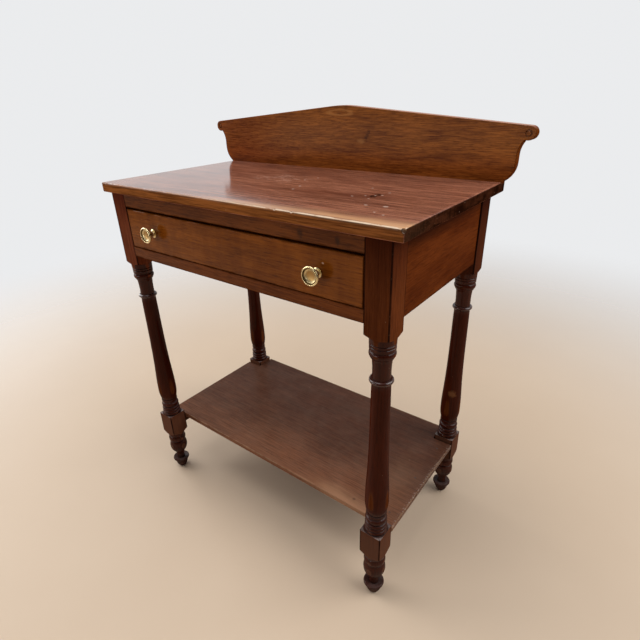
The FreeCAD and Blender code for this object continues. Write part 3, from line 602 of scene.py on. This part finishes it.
corner = (top_high.x - 0.001, top_low.y + 0.001, top_high.z - 0.003)
chip = top.spot(corner, (CHIP_SIZE,) * 3, ragged=0.6)["Spot"]
crumbs = span(tree, noise(tree, top.place, 420.0, 3.0, 0.65), 0.56, 0.64)
top.paint(chip, blend(tree, crumbs, CHIP_DARK, CHIP_CRUMBS), 0.85)
top.strip(chip)
worn = top.mask(marks, {"Amount": 0.8})
top.paint(worn["Nicks"], TOP_FINE_NICK, 0.5)
top.paint(worn["Scratches"], TOP_SCRATCH, 0.25)
top.dull(worn["Scratches"], 0.2)
dress(top.finish(bump=0.2), "top_board")
print("top board dressed")

# %% [markdown]
# ## Backsplash
# The backsplash is browner than the top and shows its grain well, with fine dark flecks along the
# board. It is darker to the left and along its foot. The same wood group makes it, with finer
# figure, and broad tints give the slow changes.

# %% Backsplash: wood and shading
SPLASH_FIGURE = {"Heart": (0.0, 0.41, 1.53), "Ring gap": 0.02, "Wander": 0.1, "Contrast": 0.4,
                 "Fibres": 0.95, "Blotches": 0.35, "Flecks": 0.7, "Pores": 0.6,
                 "Pale": (0.32, 0.103, 0.018, 1), "Dark": (0.12, 0.032, 0.0055, 1)}
SPLASH_FOOT_TINT = (0.95, 0.78, 0.8, 1)
SPLASH_LEFT_TINT = (0.76, 0.62, 0.62, 1)

splash_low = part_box("backsplash")[0]
splash = WoodFinish("backsplash_wood", "X", SPLASH_FIGURE, fineness=1.7)
tree = splash.tree
splash.gloss(rough=0.42, coat=0.1, coat_rough=0.22)
splash_x, _, splash_z = split(tree, splash.place)
splash_foot = span(tree, splash_z, splash_low.z + 0.065, splash_low.z + 0.015)
splash.tint(splash_foot, SPLASH_FOOT_TINT, 0.8)
splash.tint(span(tree, splash_x, -0.1, -0.3), SPLASH_LEFT_TINT, 0.9)
print("backsplash: wood and shading")

# %% [markdown]
# ## Knot and flame of the backsplash
# Right of the middle a small knot runs down at a slant, with the grain swirling round it and a
# clear patch beside it. Under the peak a pale flame shows where a ring comes to the surface. Bending
# the rings to make these would disturb the whole board, so they are spots laid over it.

# %% Backsplash: knot, flame and wear
# X, Z, width and height of each mark on the front face.
SPLASH_KNOTS = ((0.0635, 0.7945, 0.0052, 0.0062), (0.0605, 0.7885, 0.0052, 0.0062),
                (0.057, 0.783, 0.0052, 0.0062))
SPLASH_SWIRL = (0.052, 0.781, 0.034, 0.02)
SPLASH_CLEAR = (0.046, 0.7765, 0.014, 0.0065)
SPLASH_FLAME = (-0.004, 0.829, 0.034, 0.0065)
SPLASH_KNOT_BROWN = (0.03, 0.01, 0.004, 1)
SWIRL_TINT = (0.5, 0.42, 0.36, 1)
CLEAR_PALE = (0.36, 0.15, 0.04, 1)
FLAME_PALE = (0.42, 0.17, 0.045, 1)
SPLASH_EDGE = (0.3, 0.14, 0.06, 1)
SPLASH_UPPER_HIGHLIGHT_AND_WEAR = (0.5, 0.3, 0.23, 1)
SPLASH_END_TINT = (0.6, 0.5, 0.5, 1)
SPLASH_DIRT = (0.02, 0.008, 0.004, 1)
SPLASH_NICK = (0.35, 0.18, 0.08, 1)


def splash_spot(mark, ragged, soft):
    """A spot on the backsplash's front face."""
    x, z, width, height = mark
    return splash.spot((x, splash_low.y, z), (width, SPOT_DEPTH, height), ragged, soft)


for mark in SPLASH_KNOTS:
    splash.paint(splash_spot(mark, 1.2, 0.8)["Spot"], SPLASH_KNOT_BROWN, 0.6)
splash.tint(splash_spot(SPLASH_SWIRL, 1.4, 0.9)["Spot"], SWIRL_TINT, 0.45)
splash.paint(splash_spot(SPLASH_CLEAR, 0.9, 0.8)["Spot"], CLEAR_PALE, 0.55)
flame = splash_spot(SPLASH_FLAME, 0.9, 0.5)["Distance"]
splash.paint(outline(tree, flame, 0.78, 0.04, 0.34), FLAME_PALE, 0.55)
wear = splash.mask(edge_wear, {**board_box("backsplash"), "Reach": 0.003})["Wear"]
splash.paint(wear, SPLASH_EDGE, 0.35)
face_x, _, face_z = facing(tree)
# Faces that look upward are painted paler: wear on the edges and a painted highlight.
splash.paint(span(tree, face_z, 0.5, 0.9), SPLASH_UPPER_HIGHLIGHT_AND_WEAR, 0.65)
end_face = span(tree, calc(tree, "ABSOLUTE", face_x), 0.15, 0.5)
splash.tint(end_face, SPLASH_END_TINT)
splash.strip(end_face)
splash.paint(splash.mask(hollow_dirt, {"Amount": 0.8})["Dirt"], SPLASH_DIRT, 0.85)
splash.paint(splash.mask(marks, {"Amount": 0.5})["Nicks"], SPLASH_NICK, 0.35)
dress(splash.finish(bump=0.25), "backsplash")
print("backsplash dressed")

# %% [markdown]
# ## Legs
# The legs are the darkest pieces, turned from straight stock, so their grain runs upward. Square
# blocks and turned parts differ in finish. They are one solid, so each point's distance from the
# leg's sides tells which of the two it is on.

# %% Legs: wood, blocks and turned parts
LEG_FIGURE = {"Ring gap": 0.008, "Wander": 0.03, "Contrast": 0.2, "Fibres": 0.4, "Blotches": 0.4,
              "Flecks": 0.3, "Pores": 0.5, "Pale": (0.115, 0.03, 0.0075, 1),
              "Dark": (0.045, 0.0095, 0.0025, 1)}
# How far the heart of the tree lies from the leg's axis.
LEG_HEART = (-0.06, 0.05)


class LegFinish(WoodFinish):
    """A leg's finish, with masks for its square blocks and its turned parts."""

    def __init__(self, name):
        low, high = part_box(name)
        self.middle = (low + high) / 2
        self.half = (high - low) / 2
        heart = (0.0, self.middle.y + LEG_HEART[1], self.middle.x + LEG_HEART[0])
        super().__init__(name.replace("leg_", "leg_wood_"), "Z", {"Heart": heart, **LEG_FIGURE})
        tree = self.tree
        self.gloss(rough=0.42, coat=1.0, coat_rough=0.06, coat_ior=1.5)
        x, y, self.z = split(tree, self.place)
        self.aside_x = calc(tree, "ABSOLUTE", minus(tree, x, self.middle.x))
        self.aside_y = calc(tree, "ABSOLUTE", minus(tree, y, self.middle.y))
        outermost = calc(tree, "MAXIMUM", self.aside_x, self.aside_y)
        self.block = span(tree, outermost, self.half.x - 0.0012, self.half.x - 0.0005)
        self.turned = minus(tree, 1.0, self.block)


print("leg finish ready")

# %% [markdown]
# ## Painted light and polish of the legs
# The upper blocks are painted lighter or darker from leg to leg, for the light that falls on each,
# with a painted shadow close under the top, and their right faces are painted paler, as lit from
# the right. The blocks have lost their shine. The turned parts keep some, and most of it is on the
# narrow bead under the crown, which hands polish. Heights measured on the solid mark off these
# parts.

# %% Legs: painted light on the blocks, and polish
UPPER_BLOCK = (0.4, 0.5)
TOP_SHADOW_HEIGHTS = (0.62, 0.7)
COLUMN_ENDS = (0.225, 0.4685)
BEAD_ENDS = (0.4792, 0.4864)
RIGHT_FACE_LIGHT_TINT = (1.3, 1.3, 1.25, 1)
TOP_SHADOW_TINT = (0.56, 0.46, 0.54, 1)
TURNED_TINT = (0.5, 0.29, 0.33, 1)


def strip_blocks_and_paint_light(leg, shade):
    tree = leg.tree
    leg.strip(leg.block, 0.95)
    # Each leg's own tint of its upper block is painted light and shade.
    leg.tint(times(tree, leg.block, span(tree, leg.z, *UPPER_BLOCK)), shade)
    # Right faces of the blocks painted paler, as lit from the right.
    leg.tint(times(tree, span(tree, facing(tree)[0], 0.7, 0.95), leg.block), RIGHT_FACE_LIGHT_TINT)
    # Painted shadow of the top on the upper blocks, darkest close under it.
    leg.tint(times(tree, span(tree, leg.z, *TOP_SHADOW_HEIGHTS), leg.block), TOP_SHADOW_TINT, 0.95)


def polish_turned_parts(leg):
    tree = leg.tree
    bead = between(tree, leg.z, *BEAD_ENDS, 0.001)
    leg.strip(minus(tree, leg.turned, bead), 0.66)
    leg.tint(leg.turned, TURNED_TINT, 0.95)
    leg.strip(between(tree, leg.z, *COLUMN_ENDS, 0.01), 0.55)


print("stain and polish of the legs ready")

# %% [markdown]
# ## Dirt and wear of the legs
# Wax and dirt have gathered in the grooves, dust lies on the rings and shoulders, and the lower
# blocks and the feet are grey with it. The arrises of the blocks are painted as dark lines, with a
# few chips. The dirt and dust come from the shared groups, and the arrises from the distance to
# both sides, which keeps them straight.

# %% Legs: dirt and wear
LOWER_BLOCK = (0.2, 0.15)
FOOT = (0.085, 0.06)
LOWER_BLOCK_DUST = (0.125, 0.066, 0.046, 1)
FOOT_GREY = (0.06, 0.043, 0.036, 1)
LEG_DIRT = (0.012, 0.006, 0.005, 1)
LEG_DUST = (0.27, 0.22, 0.21, 1)
SHOULDER_DUST = (0.62, 0.54, 0.5, 1)
ARRIS_DARK = (0.012, 0.005, 0.0035, 1)
LEG_CHIP = (0.3, 0.17, 0.1, 1)
LEG_RUB = (0.2, 0.085, 0.035, 1)


def soil_leg(leg):
    tree = leg.tree
    lower_block = times(tree, span(tree, leg.z, *LOWER_BLOCK), leg.block)
    leg.paint(lower_block, LOWER_BLOCK_DUST, 0.45)
    foot = span(tree, leg.z, *FOOT)
    grey = span(tree, noise(tree, leg.place, 60.0, 5.0, 0.65), 0.4, 0.65, 0.3, 1.0)
    leg.paint(times(tree, foot, grey), FOOT_GREY, 0.55)
    leg.strip(foot, 0.5)
    dirt = leg.mask(hollow_dirt, {"Amount": 1.0})["Dirt"]
    leg.paint(dirt, LEG_DIRT, 0.85)
    leg.dull(dirt, 0.25)
    leg.strip(dirt, 0.5)
    dusty = leg.mask(dust, {"Amount": 0.6})["Dust"]
    leg.paint(dusty, LEG_DUST, 0.4)
    squares = [calc(tree, "POWER", aside, 2.0) for aside in (leg.aside_x, leg.aside_y)]
    from_axis = calc(tree, "SQRT", plus(tree, *squares))
    shoulder = span(tree, from_axis, leg.half.x + 0.0006, leg.half.x + 0.003)
    leg.paint(times(tree, dusty, shoulder), SHOULDER_DUST)
    leg.dull(dusty, 0.3)


def wear_leg(leg, rubs):
    tree = leg.tree
    innermost = calc(tree, "MINIMUM", leg.aside_x, leg.aside_y)
    arris = span(tree, innermost, leg.half.x - 0.0028, leg.half.x - 0.0014)
    uneven = span(tree, noise(tree, leg.place, 30.0, 4.0), 0.3, 0.6, 0.65, 1.0)
    leg.paint(times(tree, arris, uneven), ARRIS_DARK, 0.92)
    leg.strip(arris)
    box = {"Middle": leg.middle, "Half": leg.half}
    chipped = leg.mask(edge_wear, {**box, "Reach": 0.0013, "Break up": 130.0})["Wear"]
    rare = span(tree, noise(tree, leg.place, 55.0, 3.0), 0.6, 0.68)
    leg.paint(times(tree, chipped, rare), LEG_CHIP, 0.4)
    leg.paint(leg.mask(marks, {"Amount": 0.7})["Nicks"], LEG_CHIP, 0.4)
    for centre, size in rubs:
        rub = leg.spot(centre, size, ragged=1.1, soft=0.6)["Spot"]
        leg.paint(rub, LEG_RUB, 0.65)
        leg.strip(rub, 0.7)


print("dirt and wear of the legs ready")

# %% Legs: all four
# Tint of each leg's upper block: painted light and shade, lighter on the front-left leg, darker on
# the back-right leg.
LEG_LIGHT_AND_SHADE = {"leg_front_left": (1.68, 1.72, 2.8, 1), "leg_front_right": (1.06, 1.02, 1.0, 1),
              "leg_back_left": (1.0, 1.0, 1.0, 1), "leg_back_right": (0.54, 0.47, 0.62, 1)}
# Centre and size of places rubbed bare.
LEG_RUBS = {"leg_back_right": [((0.298, 0.143, 0.286), (0.011, 0.012, 0.011))]}

for name, shade in LEG_LIGHT_AND_SHADE.items():
    leg = LegFinish(name)
    strip_blocks_and_paint_light(leg, shade)
    polish_turned_parts(leg)
    soil_leg(leg)
    wear_leg(leg, LEG_RUBS.get(name, ()))
    dress(leg.finish(bump=0.2), name)
print("legs dressed:", len(LEG_LIGHT_AND_SHADE))

# %% [markdown]
# ## Rails, aprons and drawer front
# These boards share one tree and one finish, so one function makes them all. The drawer front is
# the most even and orange, with a faint mottle across the grain and painted shade round its knobs.
# The rails are darker, and the side aprons are red-brown with cloudy figure, with a painted shadow
# under the top.

# %% Plain boards
BOARD_FIGURE = {"Ring gap": 0.011, "Wander": 0.05, "Contrast": 0.25, "Fibres": 0.65,
                "Blotches": 0.5, "Flecks": 0.5, "Pores": 0.6}
MOTTLE_WAVES = (42.0, 5.0, 9.0)
MOTTLE_TINT = (0.66, 0.58, 0.5, 1)
BOARD_EDGE = (0.03, 0.011, 0.005, 1)
BOARD_NICK = (0.3, 0.16, 0.08, 1)


def make_board_wood(name, nodes, grain, figure, rough=0.38, coat=0.4, coat_rough=0.18,
                    stains_and_shadows=(), mottle=0.0):
    """A plain board's finish; a stain or a painted shadow is a centre, a size, a colour and a
    strength.
    """
    wood = WoodFinish(name, grain, {**BOARD_FIGURE, **figure})
    tree = wood.tree
    wood.gloss(rough, coat, coat_rough)
    if mottle:
        ripples = span(tree, drawn_out(tree, wood.along, MOTTLE_WAVES, 4.0, 0.6), 0.35, 0.65)
        wood.tint(ripples, MOTTLE_TINT, mottle)
    for centre, size, colour, share in stains_and_shadows:
        wood.paint(wood.spot(centre, size, ragged=1.0, soft=0.8)["Spot"], colour, share)
    wear = wood.mask(edge_wear, {**board_box(nodes[0]), "Reach": 0.0025})["Wear"]
    wood.paint(wear, BOARD_EDGE, 0.5)
    wood.strip(wear)
    worn = wood.mask(marks, {"Amount": 0.6})
    wood.paint(worn["Nicks"], BOARD_NICK, 0.35)
    wood.dull(worn["Scratches"], 0.15)
    dress(wood.finish(bump=0.22), *nodes)


print("plain boards ready")

# %% Drawer front and rails
GRIME_AND_SHADE = (0.018, 0.008, 0.005, 1)
BARE_NICK = (0.5, 0.33, 0.22, 1)

front_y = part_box("drawer_front")[0].y
make_board_wood("drawer_front_wood", ["drawer_front"], "X",
                {"Heart": (0.0, -0.1, 0.56), "Contrast": 0.2, "Fibres": 0.6,
                 "Pale": (0.235, 0.065, 0.0065, 1), "Dark": (0.122, 0.03, 0.003, 1)},
                rough=0.36, coat_rough=0.12, mottle=0.5,
                # The two wide spots round the knobs are painted shade; the rail spots below are real
                # grime.
                stains_and_shadows=[((0.203, front_y, 0.6526), (0.0028, 0.01, 0.0022), BARE_NICK, 0.9),
                        ((0.196, front_y, 0.632), (0.026, 0.02, 0.026), GRIME_AND_SHADE, 0.3),
                        ((-0.19, front_y, 0.632), (0.026, 0.02, 0.026), GRIME_AND_SHADE, 0.3)])
make_board_wood("upper_rail_wood", ["upper_front_rail"], "X",
                {"Heart": (0.0, -0.1, 0.75),
                 "Pale": (0.17, 0.046, 0.008, 1), "Dark": (0.075, 0.018, 0.003, 1)},
                stains_and_shadows=[((0.164, front_y, 0.689), (0.008, 0.02, 0.011), GRIME_AND_SHADE, 0.6),
                        ((0.228, front_y, 0.688), (0.006, 0.02, 0.009), GRIME_AND_SHADE, 0.65)])
make_board_wood("lower_rail_wood", ["lower_front_rail"], "X",
                {"Heart": (0.0, -0.12, 0.55),
                 "Pale": (0.165, 0.042, 0.007, 1), "Dark": (0.078, 0.017, 0.0028, 1)},
                coat=0.3)
print("drawer front and rails dressed")

# %% Aprons
APRON_HEARTS = {"right": (0.0, 0.36, 0.7), "left": (0.0, -0.36, 0.72)}
APRON_SHADOW_SIZE = (0.5, 0.9, 0.034)
APRON_SHADOW = (0.022, 0.0055, 0.0025, 1)

for side, heart in APRON_HEARTS.items():
    node = "side_apron_" + side
    apron_low, apron_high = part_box(node)
    # The spot along the upper edge is a painted shadow of the top's overhang.
    upper_edge = (apron_low.x, 0.0, apron_high.z)
    make_board_wood(node + "_wood", [node], "Y",
                    {"Heart": heart, "Contrast": 0.18, "Blotches": 0.9, "Fibres": 0.5,
                     "Pale": (0.142, 0.0325, 0.0062, 1), "Dark": (0.077, 0.0148, 0.0028, 1)},
                    rough=0.55, coat=0.04, coat_rough=0.35,
                    stains_and_shadows=[(upper_edge, APRON_SHADOW_SIZE, APRON_SHADOW, 0.85)])
make_board_wood("back_apron_wood", ["back_apron"], "X",
                {"Heart": (0.0, 0.3, 0.62),
                 "Pale": (0.17, 0.07, 0.028, 1), "Dark": (0.085, 0.03, 0.011, 1)},
                rough=0.6, coat=0.05, coat_rough=0.4)
print("aprons dressed")

# %% [markdown]
# ## Shelf
# The shelf is duller than the rest: its finish is worn to bare patches at the front by whatever
# stood on it, and these patches are also painted paler as light falling on the front. Dust and
# crumbs lie on it, and the front edge has a thin pale line where it is rubbed. Towards the back it
# is painted darker, as shade under the top. The patches are spots placed one by one, and noise
# breaks up the painted shade from front to back, so that it is not a plain ramp.

# %% Shelf: wood, rear and dust
SHELF_FIGURE = {"Heart": (0.0, -0.3, -0.3), "Ring gap": 0.014, "Wander": 0.07, "Contrast": 0.12,
                "Fibres": 0.7, "Blotches": 0.25, "Flecks": 0.3, "Pores": 0.6,
                "Pale": (0.235, 0.093, 0.046, 1), "Dark": (0.098, 0.036, 0.0175, 1)}
SHELF_REAR_SHADE = (0.46, 0.41, 0.43, 1)
SHELF_EDGE = (0.42, 0.27, 0.15, 1)
SHELF_DUST = (0.2, 0.14, 0.105, 1)

shelf = WoodFinish("shelf_wood", "X", SHELF_FIGURE)
tree = shelf.tree
shelf.gloss(rough=0.5, coat=0.2, coat_rough=0.3, specular=0.02)
shelf_x, shelf_y, _ = split(tree, shelf.place)
# Painted shade under the top, darker towards the back of the shelf.
patchy = times(tree, minus(tree, noise(tree, shelf.place, 7.0, 4.0), 0.5), 0.2)
shelf.tint(span(tree, plus(tree, shelf_y, patchy), -0.16, 0.06), SHELF_REAR_SHADE)
wear = shelf.mask(edge_wear, {**board_box("shelf"), "Reach": 0.003})["Wear"]
front_edge = span(tree, shelf_y, -0.15, -0.17, 0.25, 0.7)
shelf.paint(times(tree, wear, front_edge), SHELF_EDGE)
dusty = shelf.mask(dust, {"Amount": 0.6})["Dust"]
shelf.paint(dusty, SHELF_DUST, 0.35)
shelf.dull(dusty, 0.2)
print("shelf: wood, rear and dust")

# %% Shelf: crumbs, bare patches and nicks
SHELF_CRUMBS = (0.4, 0.32, 0.27, 1)
SHELF_BARE_AND_LIT = (0.36, 0.19, 0.105, 1)
SHELF_HOLE_SHADE = (0.02, 0.01, 0.006, 1)
SHELF_NICK = (0.3, 0.22, 0.16, 1)
# Centre and size of each bare patch from above, and its strength; the patches also carry painted
# light.
SHELF_PATCHES = (((0.2, -0.14), (0.14, 0.055), 0.75), ((-0.05, -0.16), (0.2, 0.035), 0.4),
                 ((0.26, -0.02), (0.06, 0.14), 0.15))

shelf_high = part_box("shelf")[1]
near_right = span(tree, shelf_x, shelf_high.x - 0.008, shelf_high.x - 0.001)
crumbs = span(tree, noise(tree, shelf.place, 330.0, 3.0, 0.65), 0.54, 0.64)
shelf.paint(times(tree, crumbs, near_right), SHELF_CRUMBS, 0.6)
for centre, size, share in SHELF_PATCHES:
    bare = shelf.spot((*centre, shelf_high.z), (*size, SPOT_DEPTH), ragged=0.8, soft=0.95)
    shelf.paint(bare["Spot"], SHELF_BARE_AND_LIT, share)
# The hole's darkness is painted shade in it, and its dent is a bump.
hole = shelf.spot((0.22, -0.112, shelf_high.z), (0.005, 0.004, 0.005), ragged=0.6, soft=0.7)["Spot"]
shelf.paint(hole, SHELF_HOLE_SHADE, 0.45)
shelf.sink(hole, 0.7)
worn = shelf.mask(marks, {"Amount": 1.0})
shelf.paint(worn["Nicks"], SHELF_NICK, 0.4)
shelf.dull(worn["Scratches"], 0.15)
dress(shelf.finish(bump=0.25), "shelf")
make_board_wood("bearer_wood", ["shelf_bearer_left", "shelf_bearer_right"], "Y",
                {"Heart": (0.0, 0.4, 0.1),
                 "Pale": (0.12, 0.05, 0.024, 1), "Dark": (0.05, 0.019, 0.009, 1)},
                rough=0.6, coat=0.05, coat_rough=0.4)
print("shelf and bearers dressed")

# %% [markdown]
# ## Unseen wood
# Inside, the runners, guides, kickers and the drawer's sides, back and bottom are a pale cheap wood
# that was never varnished. It has browned with age and is dirty where the drawer rubs. It uses the
# same wood group with no coat, turned to run with each piece.

# %% Inner wood
INNER_FIGURE = {"Heart": (0.0, 0.05, 0.2), "Ring gap": 0.007, "Wander": 0.04, "Contrast": 0.5,
                "Fibres": 0.5, "Blotches": 0.5, "Pores": 0.2, "Pale": (0.45, 0.27, 0.13, 1),
                "Dark": (0.27, 0.14, 0.06, 1)}
INNER_DIRT = (0.08, 0.045, 0.025, 1)
INNER_GRIME_TINT = (0.6, 0.5, 0.42, 1)
PAIRED_INNER_PIECES = ("drawer_runner", "drawer_guide", "drawer_kicker", "drawer_side")


def make_inner_wood(name, grain, nodes):
    wood = WoodFinish(name, grain, INNER_FIGURE)
    tree = wood.tree
    wood.gloss(rough=0.7, coat=0.0, coat_rough=0.4, specular=0.02)
    wood.paint(wood.mask(hollow_dirt, {"Amount": 0.7})["Dirt"], INNER_DIRT, 0.8)
    grime = span(tree, noise(tree, wood.place, 9.0, 5.0, 0.65), 0.45, 0.75)
    wood.tint(grime, INNER_GRIME_TINT, 0.7)
    dress(wood.finish(bump=0.35), *nodes)


make_inner_wood("inner_wood_lengthwise", "Y",
                [piece + side for piece in PAIRED_INNER_PIECES for side in ("_left", "_right")])
make_inner_wood("inner_wood_crosswise", "X",
                ["drawer_back", "drawer_bottom", "drawer_stops", "glue_blocks"])
print("inner wood dressed")

# %% [markdown]
# ## Brass, screws and nails
# The knobs are turned brass, polished by hands, with tarnish in the ring-shaped groove and a brown
# dish in the middle. The screws are old steel and the nails black iron, both dull and spotted with
# rust. Dirt that follows the hollows alone would miss the flat dish, so the distance from the
# knob's axis marks the groove and the dish.

# %% Tarnish on the knobs
# From and to what distance from the axis, and how strongly.
KNOB_GROOVE = (0.0105, 0.0124, 0.85)
KNOB_DISH = (-0.001, 0.0085, 0.55)
DISH_BROWN = (0.36, 0.2, 0.06, 1)
FACE_DEPTH = (0.006, 0.007)
BAND_FADE = 0.0005


class KnobFace:
    """Masks on the face of a turned knob, the same for the left and the right one."""

    def __init__(self, tree, place, node):
        low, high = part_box(node)
        x, y, z = split(tree, place)
        aside = minus(tree, calc(tree, "ABSOLUTE", x), abs(low.x + high.x) / 2)
        above = minus(tree, z, (low.z + high.z) / 2)
        squares = [calc(tree, "POWER", part, 2.0) for part in (aside, above)]
        self.tree = tree
        self.from_axis = calc(tree, "SQRT", plus(tree, *squares))
        self.y = y
        self.front = low.y

    def on_face(self, share):
        """The share on the face, and 0 behind it."""
        start, end = (self.front + depth for depth in FACE_DEPTH)
        return span(self.tree, self.y, start, end, share, 0.0)

    def band(self, inner, outer, share):
        ring = between(self.tree, self.from_axis, inner, outer, BAND_FADE)
        return times(self.tree, ring, self.on_face(share))

    def dish(self):
        edge = KNOB_DISH[1]
        inside = span(self.tree, self.from_axis, edge - 0.002, edge, 1.0, 0.0)
        return times(self.tree, inside, self.on_face(0.8))


print("knob tarnish ready")

# %% Metals
def make_metal(name, colour, stain, rough, amount, nodes, knobs=False):
    material = bpy.data.materials.new(name)
    material.use_nodes = True
    tree = material.node_tree
    shader = tree.nodes["Principled BSDF"]
    shader.inputs["Metallic"].default_value = 1.0
    place = add(tree, "TexCoord", {}).outputs["Object"]
    dirt = place_group(tree, hollow_dirt, {"Place": place, "Amount": 1.0})["Dirt"]
    cloud = span(tree, noise(tree, place, 160.0, 4.0, 0.6), 0.45, 0.75)
    share = calc(tree, "MAXIMUM", dirt, times(tree, cloud, amount))
    if knobs:
        face = KnobFace(tree, place, nodes[0])
        for band in (KNOB_GROOVE, KNOB_DISH):
            share = calc(tree, "MAXIMUM", share, face.band(*band))
    shown = blend(tree, share, colour, stain)
    if knobs:
        shown = blend(tree, face.dish(), shown, DISH_BROWN)
    wire(tree, shown, shader.inputs["Base Color"])
    fine = noise(tree, place, 900.0, 3.0)
    dull = plus(tree, times(tree, share, 0.3), times(tree, fine, 0.08))
    wire(tree, plus(tree, dull, rough), shader.inputs["Roughness"])
    relief = add(tree, "Bump", {"Height": fine, "Strength": 0.08, "Distance": 0.0005})
    wire(tree, relief.outputs["Normal"], shader.inputs["Normal"])
    dress(material, *nodes)


make_metal("brass", colour=(0.72, 0.58, 0.32, 1), stain=(0.16, 0.1, 0.035, 1), rough=0.2,
           amount=0.25, nodes=["knob_left", "knob_right"], knobs=True)
make_metal("screw_steel", colour=(0.3, 0.28, 0.26, 1), stain=(0.12, 0.06, 0.035, 1), rough=0.4,
           amount=0.6, nodes=["top_screws", "backsplash_screws", "knob_screws"])
make_metal("nail_iron", colour=(0.09, 0.08, 0.075, 1), stain=(0.1, 0.045, 0.025, 1), rough=0.55,
           amount=0.6, nodes=["runner_nails", "shelf_nails", "drawer_bottom_nails"])
print("metals dressed")

# %% [markdown]
# ## Floor, light and camera
# The floor is a plain pale sheet that fades into a pale surround, so it has no edge. The light is
# soft: a large panel at the left, a long low strip in front, a panel overhead and one at the right.
# The surround is dimmer towards the viewer, as a room is, which gives the round legs a dark core
# between lighter sides. The camera stands where the photograph was taken from.

# %% Floor
FLOOR_RADIUS = 5.0
FLOOR_DROP = 0.0005
FLOOR_FADE = (0.6, 2.4)
FLOOR_COLOURS = ((0.6, 0.455, 0.325, 1), (0.65, 0.505, 0.37, 1))


def make_floor():
    bpy.ops.mesh.primitive_circle_add(vertices=96, radius=FLOOR_RADIUS, fill_type="NGON",
                                      location=(0, 0, -FLOOR_DROP))
    floor = bpy.context.object
    floor.name = "floor"
    material = bpy.data.materials.new("pale_floor")
    material.use_nodes = True
    tree = material.node_tree
    shader = tree.nodes["Principled BSDF"]
    shader.inputs["Roughness"].default_value = 0.6
    place = add(tree, "TexCoord", {}).outputs["Object"]
    colour = blend(tree, noise(tree, place, 3.0, 4.0), *FLOOR_COLOURS)
    wire(tree, colour, shader.inputs["Base Color"])
    seen = add(tree, "LightPath", {}).outputs["Is Camera Ray"]
    fade = times(tree, span(tree, distance(tree, place), *FLOOR_FADE), seen)
    wire(tree, minus(tree, 1.0, fade), shader.inputs["Alpha"])
    floor.data.materials.append(material)


make_floor()
print("floor laid")

# %% Surround
SURROUND_COLOUR = (0.975, 0.985, 1.0, 1)
VIEWER_SIDE = (0.55, -0.8, 0.0)
DIM_RANGE = (-0.4, 0.7)
DIM_LEVEL = 0.08
FILL_LEVEL = 0.45
MIRRORED_LEVEL = 0.9
SEEN_LEVEL = 0.85


def make_surround():
    world = bpy.data.worlds.new("studio")
    world.use_nodes = True
    bpy.context.scene.world = world
    tree = world.node_tree
    tree.nodes.clear()
    toward = {0: add(tree, "TexCoord", {}).outputs["Generated"], 1: VIEWER_SIDE}
    front = add(tree, "VectorMath", toward, operation="DOT_PRODUCT").outputs["Value"]
    dim = span(tree, front, *DIM_RANGE, 1.0, DIM_LEVEL)
    path = add(tree, "LightPath", {}).outputs
    shown = calc(tree, "MAXIMUM", path["Is Camera Ray"], path["Is Transmission Ray"])
    level = span(tree, path["Is Glossy Ray"], 0.0, 1.0, FILL_LEVEL, MIRRORED_LEVEL)
    level = calc(tree, "MAXIMUM", times(tree, dim, level), times(tree, shown, SEEN_LEVEL))
    shader = add(tree, "Background", {"Color": SURROUND_COLOUR, "Strength": level})
    out = tree.nodes.new("ShaderNodeOutputWorld")
    tree.links.new(shader.outputs[0], out.inputs["Surface"])


make_surround()
print("surround:", bpy.context.scene.world.name)

# %% Panels of light
# Name, place, aim, width and height in metres, and power in watts.
PANELS = (("left_panel", (-2.6, -0.55, 1.6), (0.0, 0.0, 0.45), 2.6, 2.4, 62),
          ("front_strip", (-0.9, -2.1, 0.6), (0.1, 0.0, 0.5), 2.2, 0.12, 9),
          ("overhead_panel", (-0.15, -0.5, 2.6), (0.0, 0.0, 0.6), 1.5, 1.1, 18),
          ("right_panel", (1.9, 0.6, 1.9), (0.2, 0.0, 0.5), 2.0, 1.8, 40))


def make_panel(name, place, aim, width, height, power):
    lamp = bpy.data.lights.new(name, "AREA")
    lamp.shape = "RECTANGLE"
    lamp.size = width
    lamp.size_y = height
    lamp.energy = power
    panel = bpy.data.objects.new(name, lamp)
    panel.location = place
    panel.rotation_euler = (Vector(aim) - Vector(place)).to_track_quat("-Z", "Y").to_euler()
    bpy.context.scene.collection.objects.link(panel)


for panel in PANELS:
    make_panel(*panel)
print("lights:", [light.name for light in bpy.data.lights])

# %% Camera
CAMERA_PLACE = (0.5717, -0.6569, 0.8651)
CAMERA_ANGLES = (63.794, 1.494, 37.010)
LENS = 25.96
SENSOR_WIDTH = 36.0


def make_camera():
    lens = bpy.data.cameras.new("camera")
    lens.lens = LENS
    lens.sensor_width = SENSOR_WIDTH
    lens.clip_start = 0.01
    camera = bpy.data.objects.new("camera", lens)
    camera.location = CAMERA_PLACE
    camera.rotation_euler = Euler([math.radians(angle) for angle in CAMERA_ANGLES])
    bpy.context.scene.collection.objects.link(camera)
    bpy.context.scene.camera = camera
    bpy.context.scene.view_settings.view_transform = "Standard"


make_camera()
print("camera set")
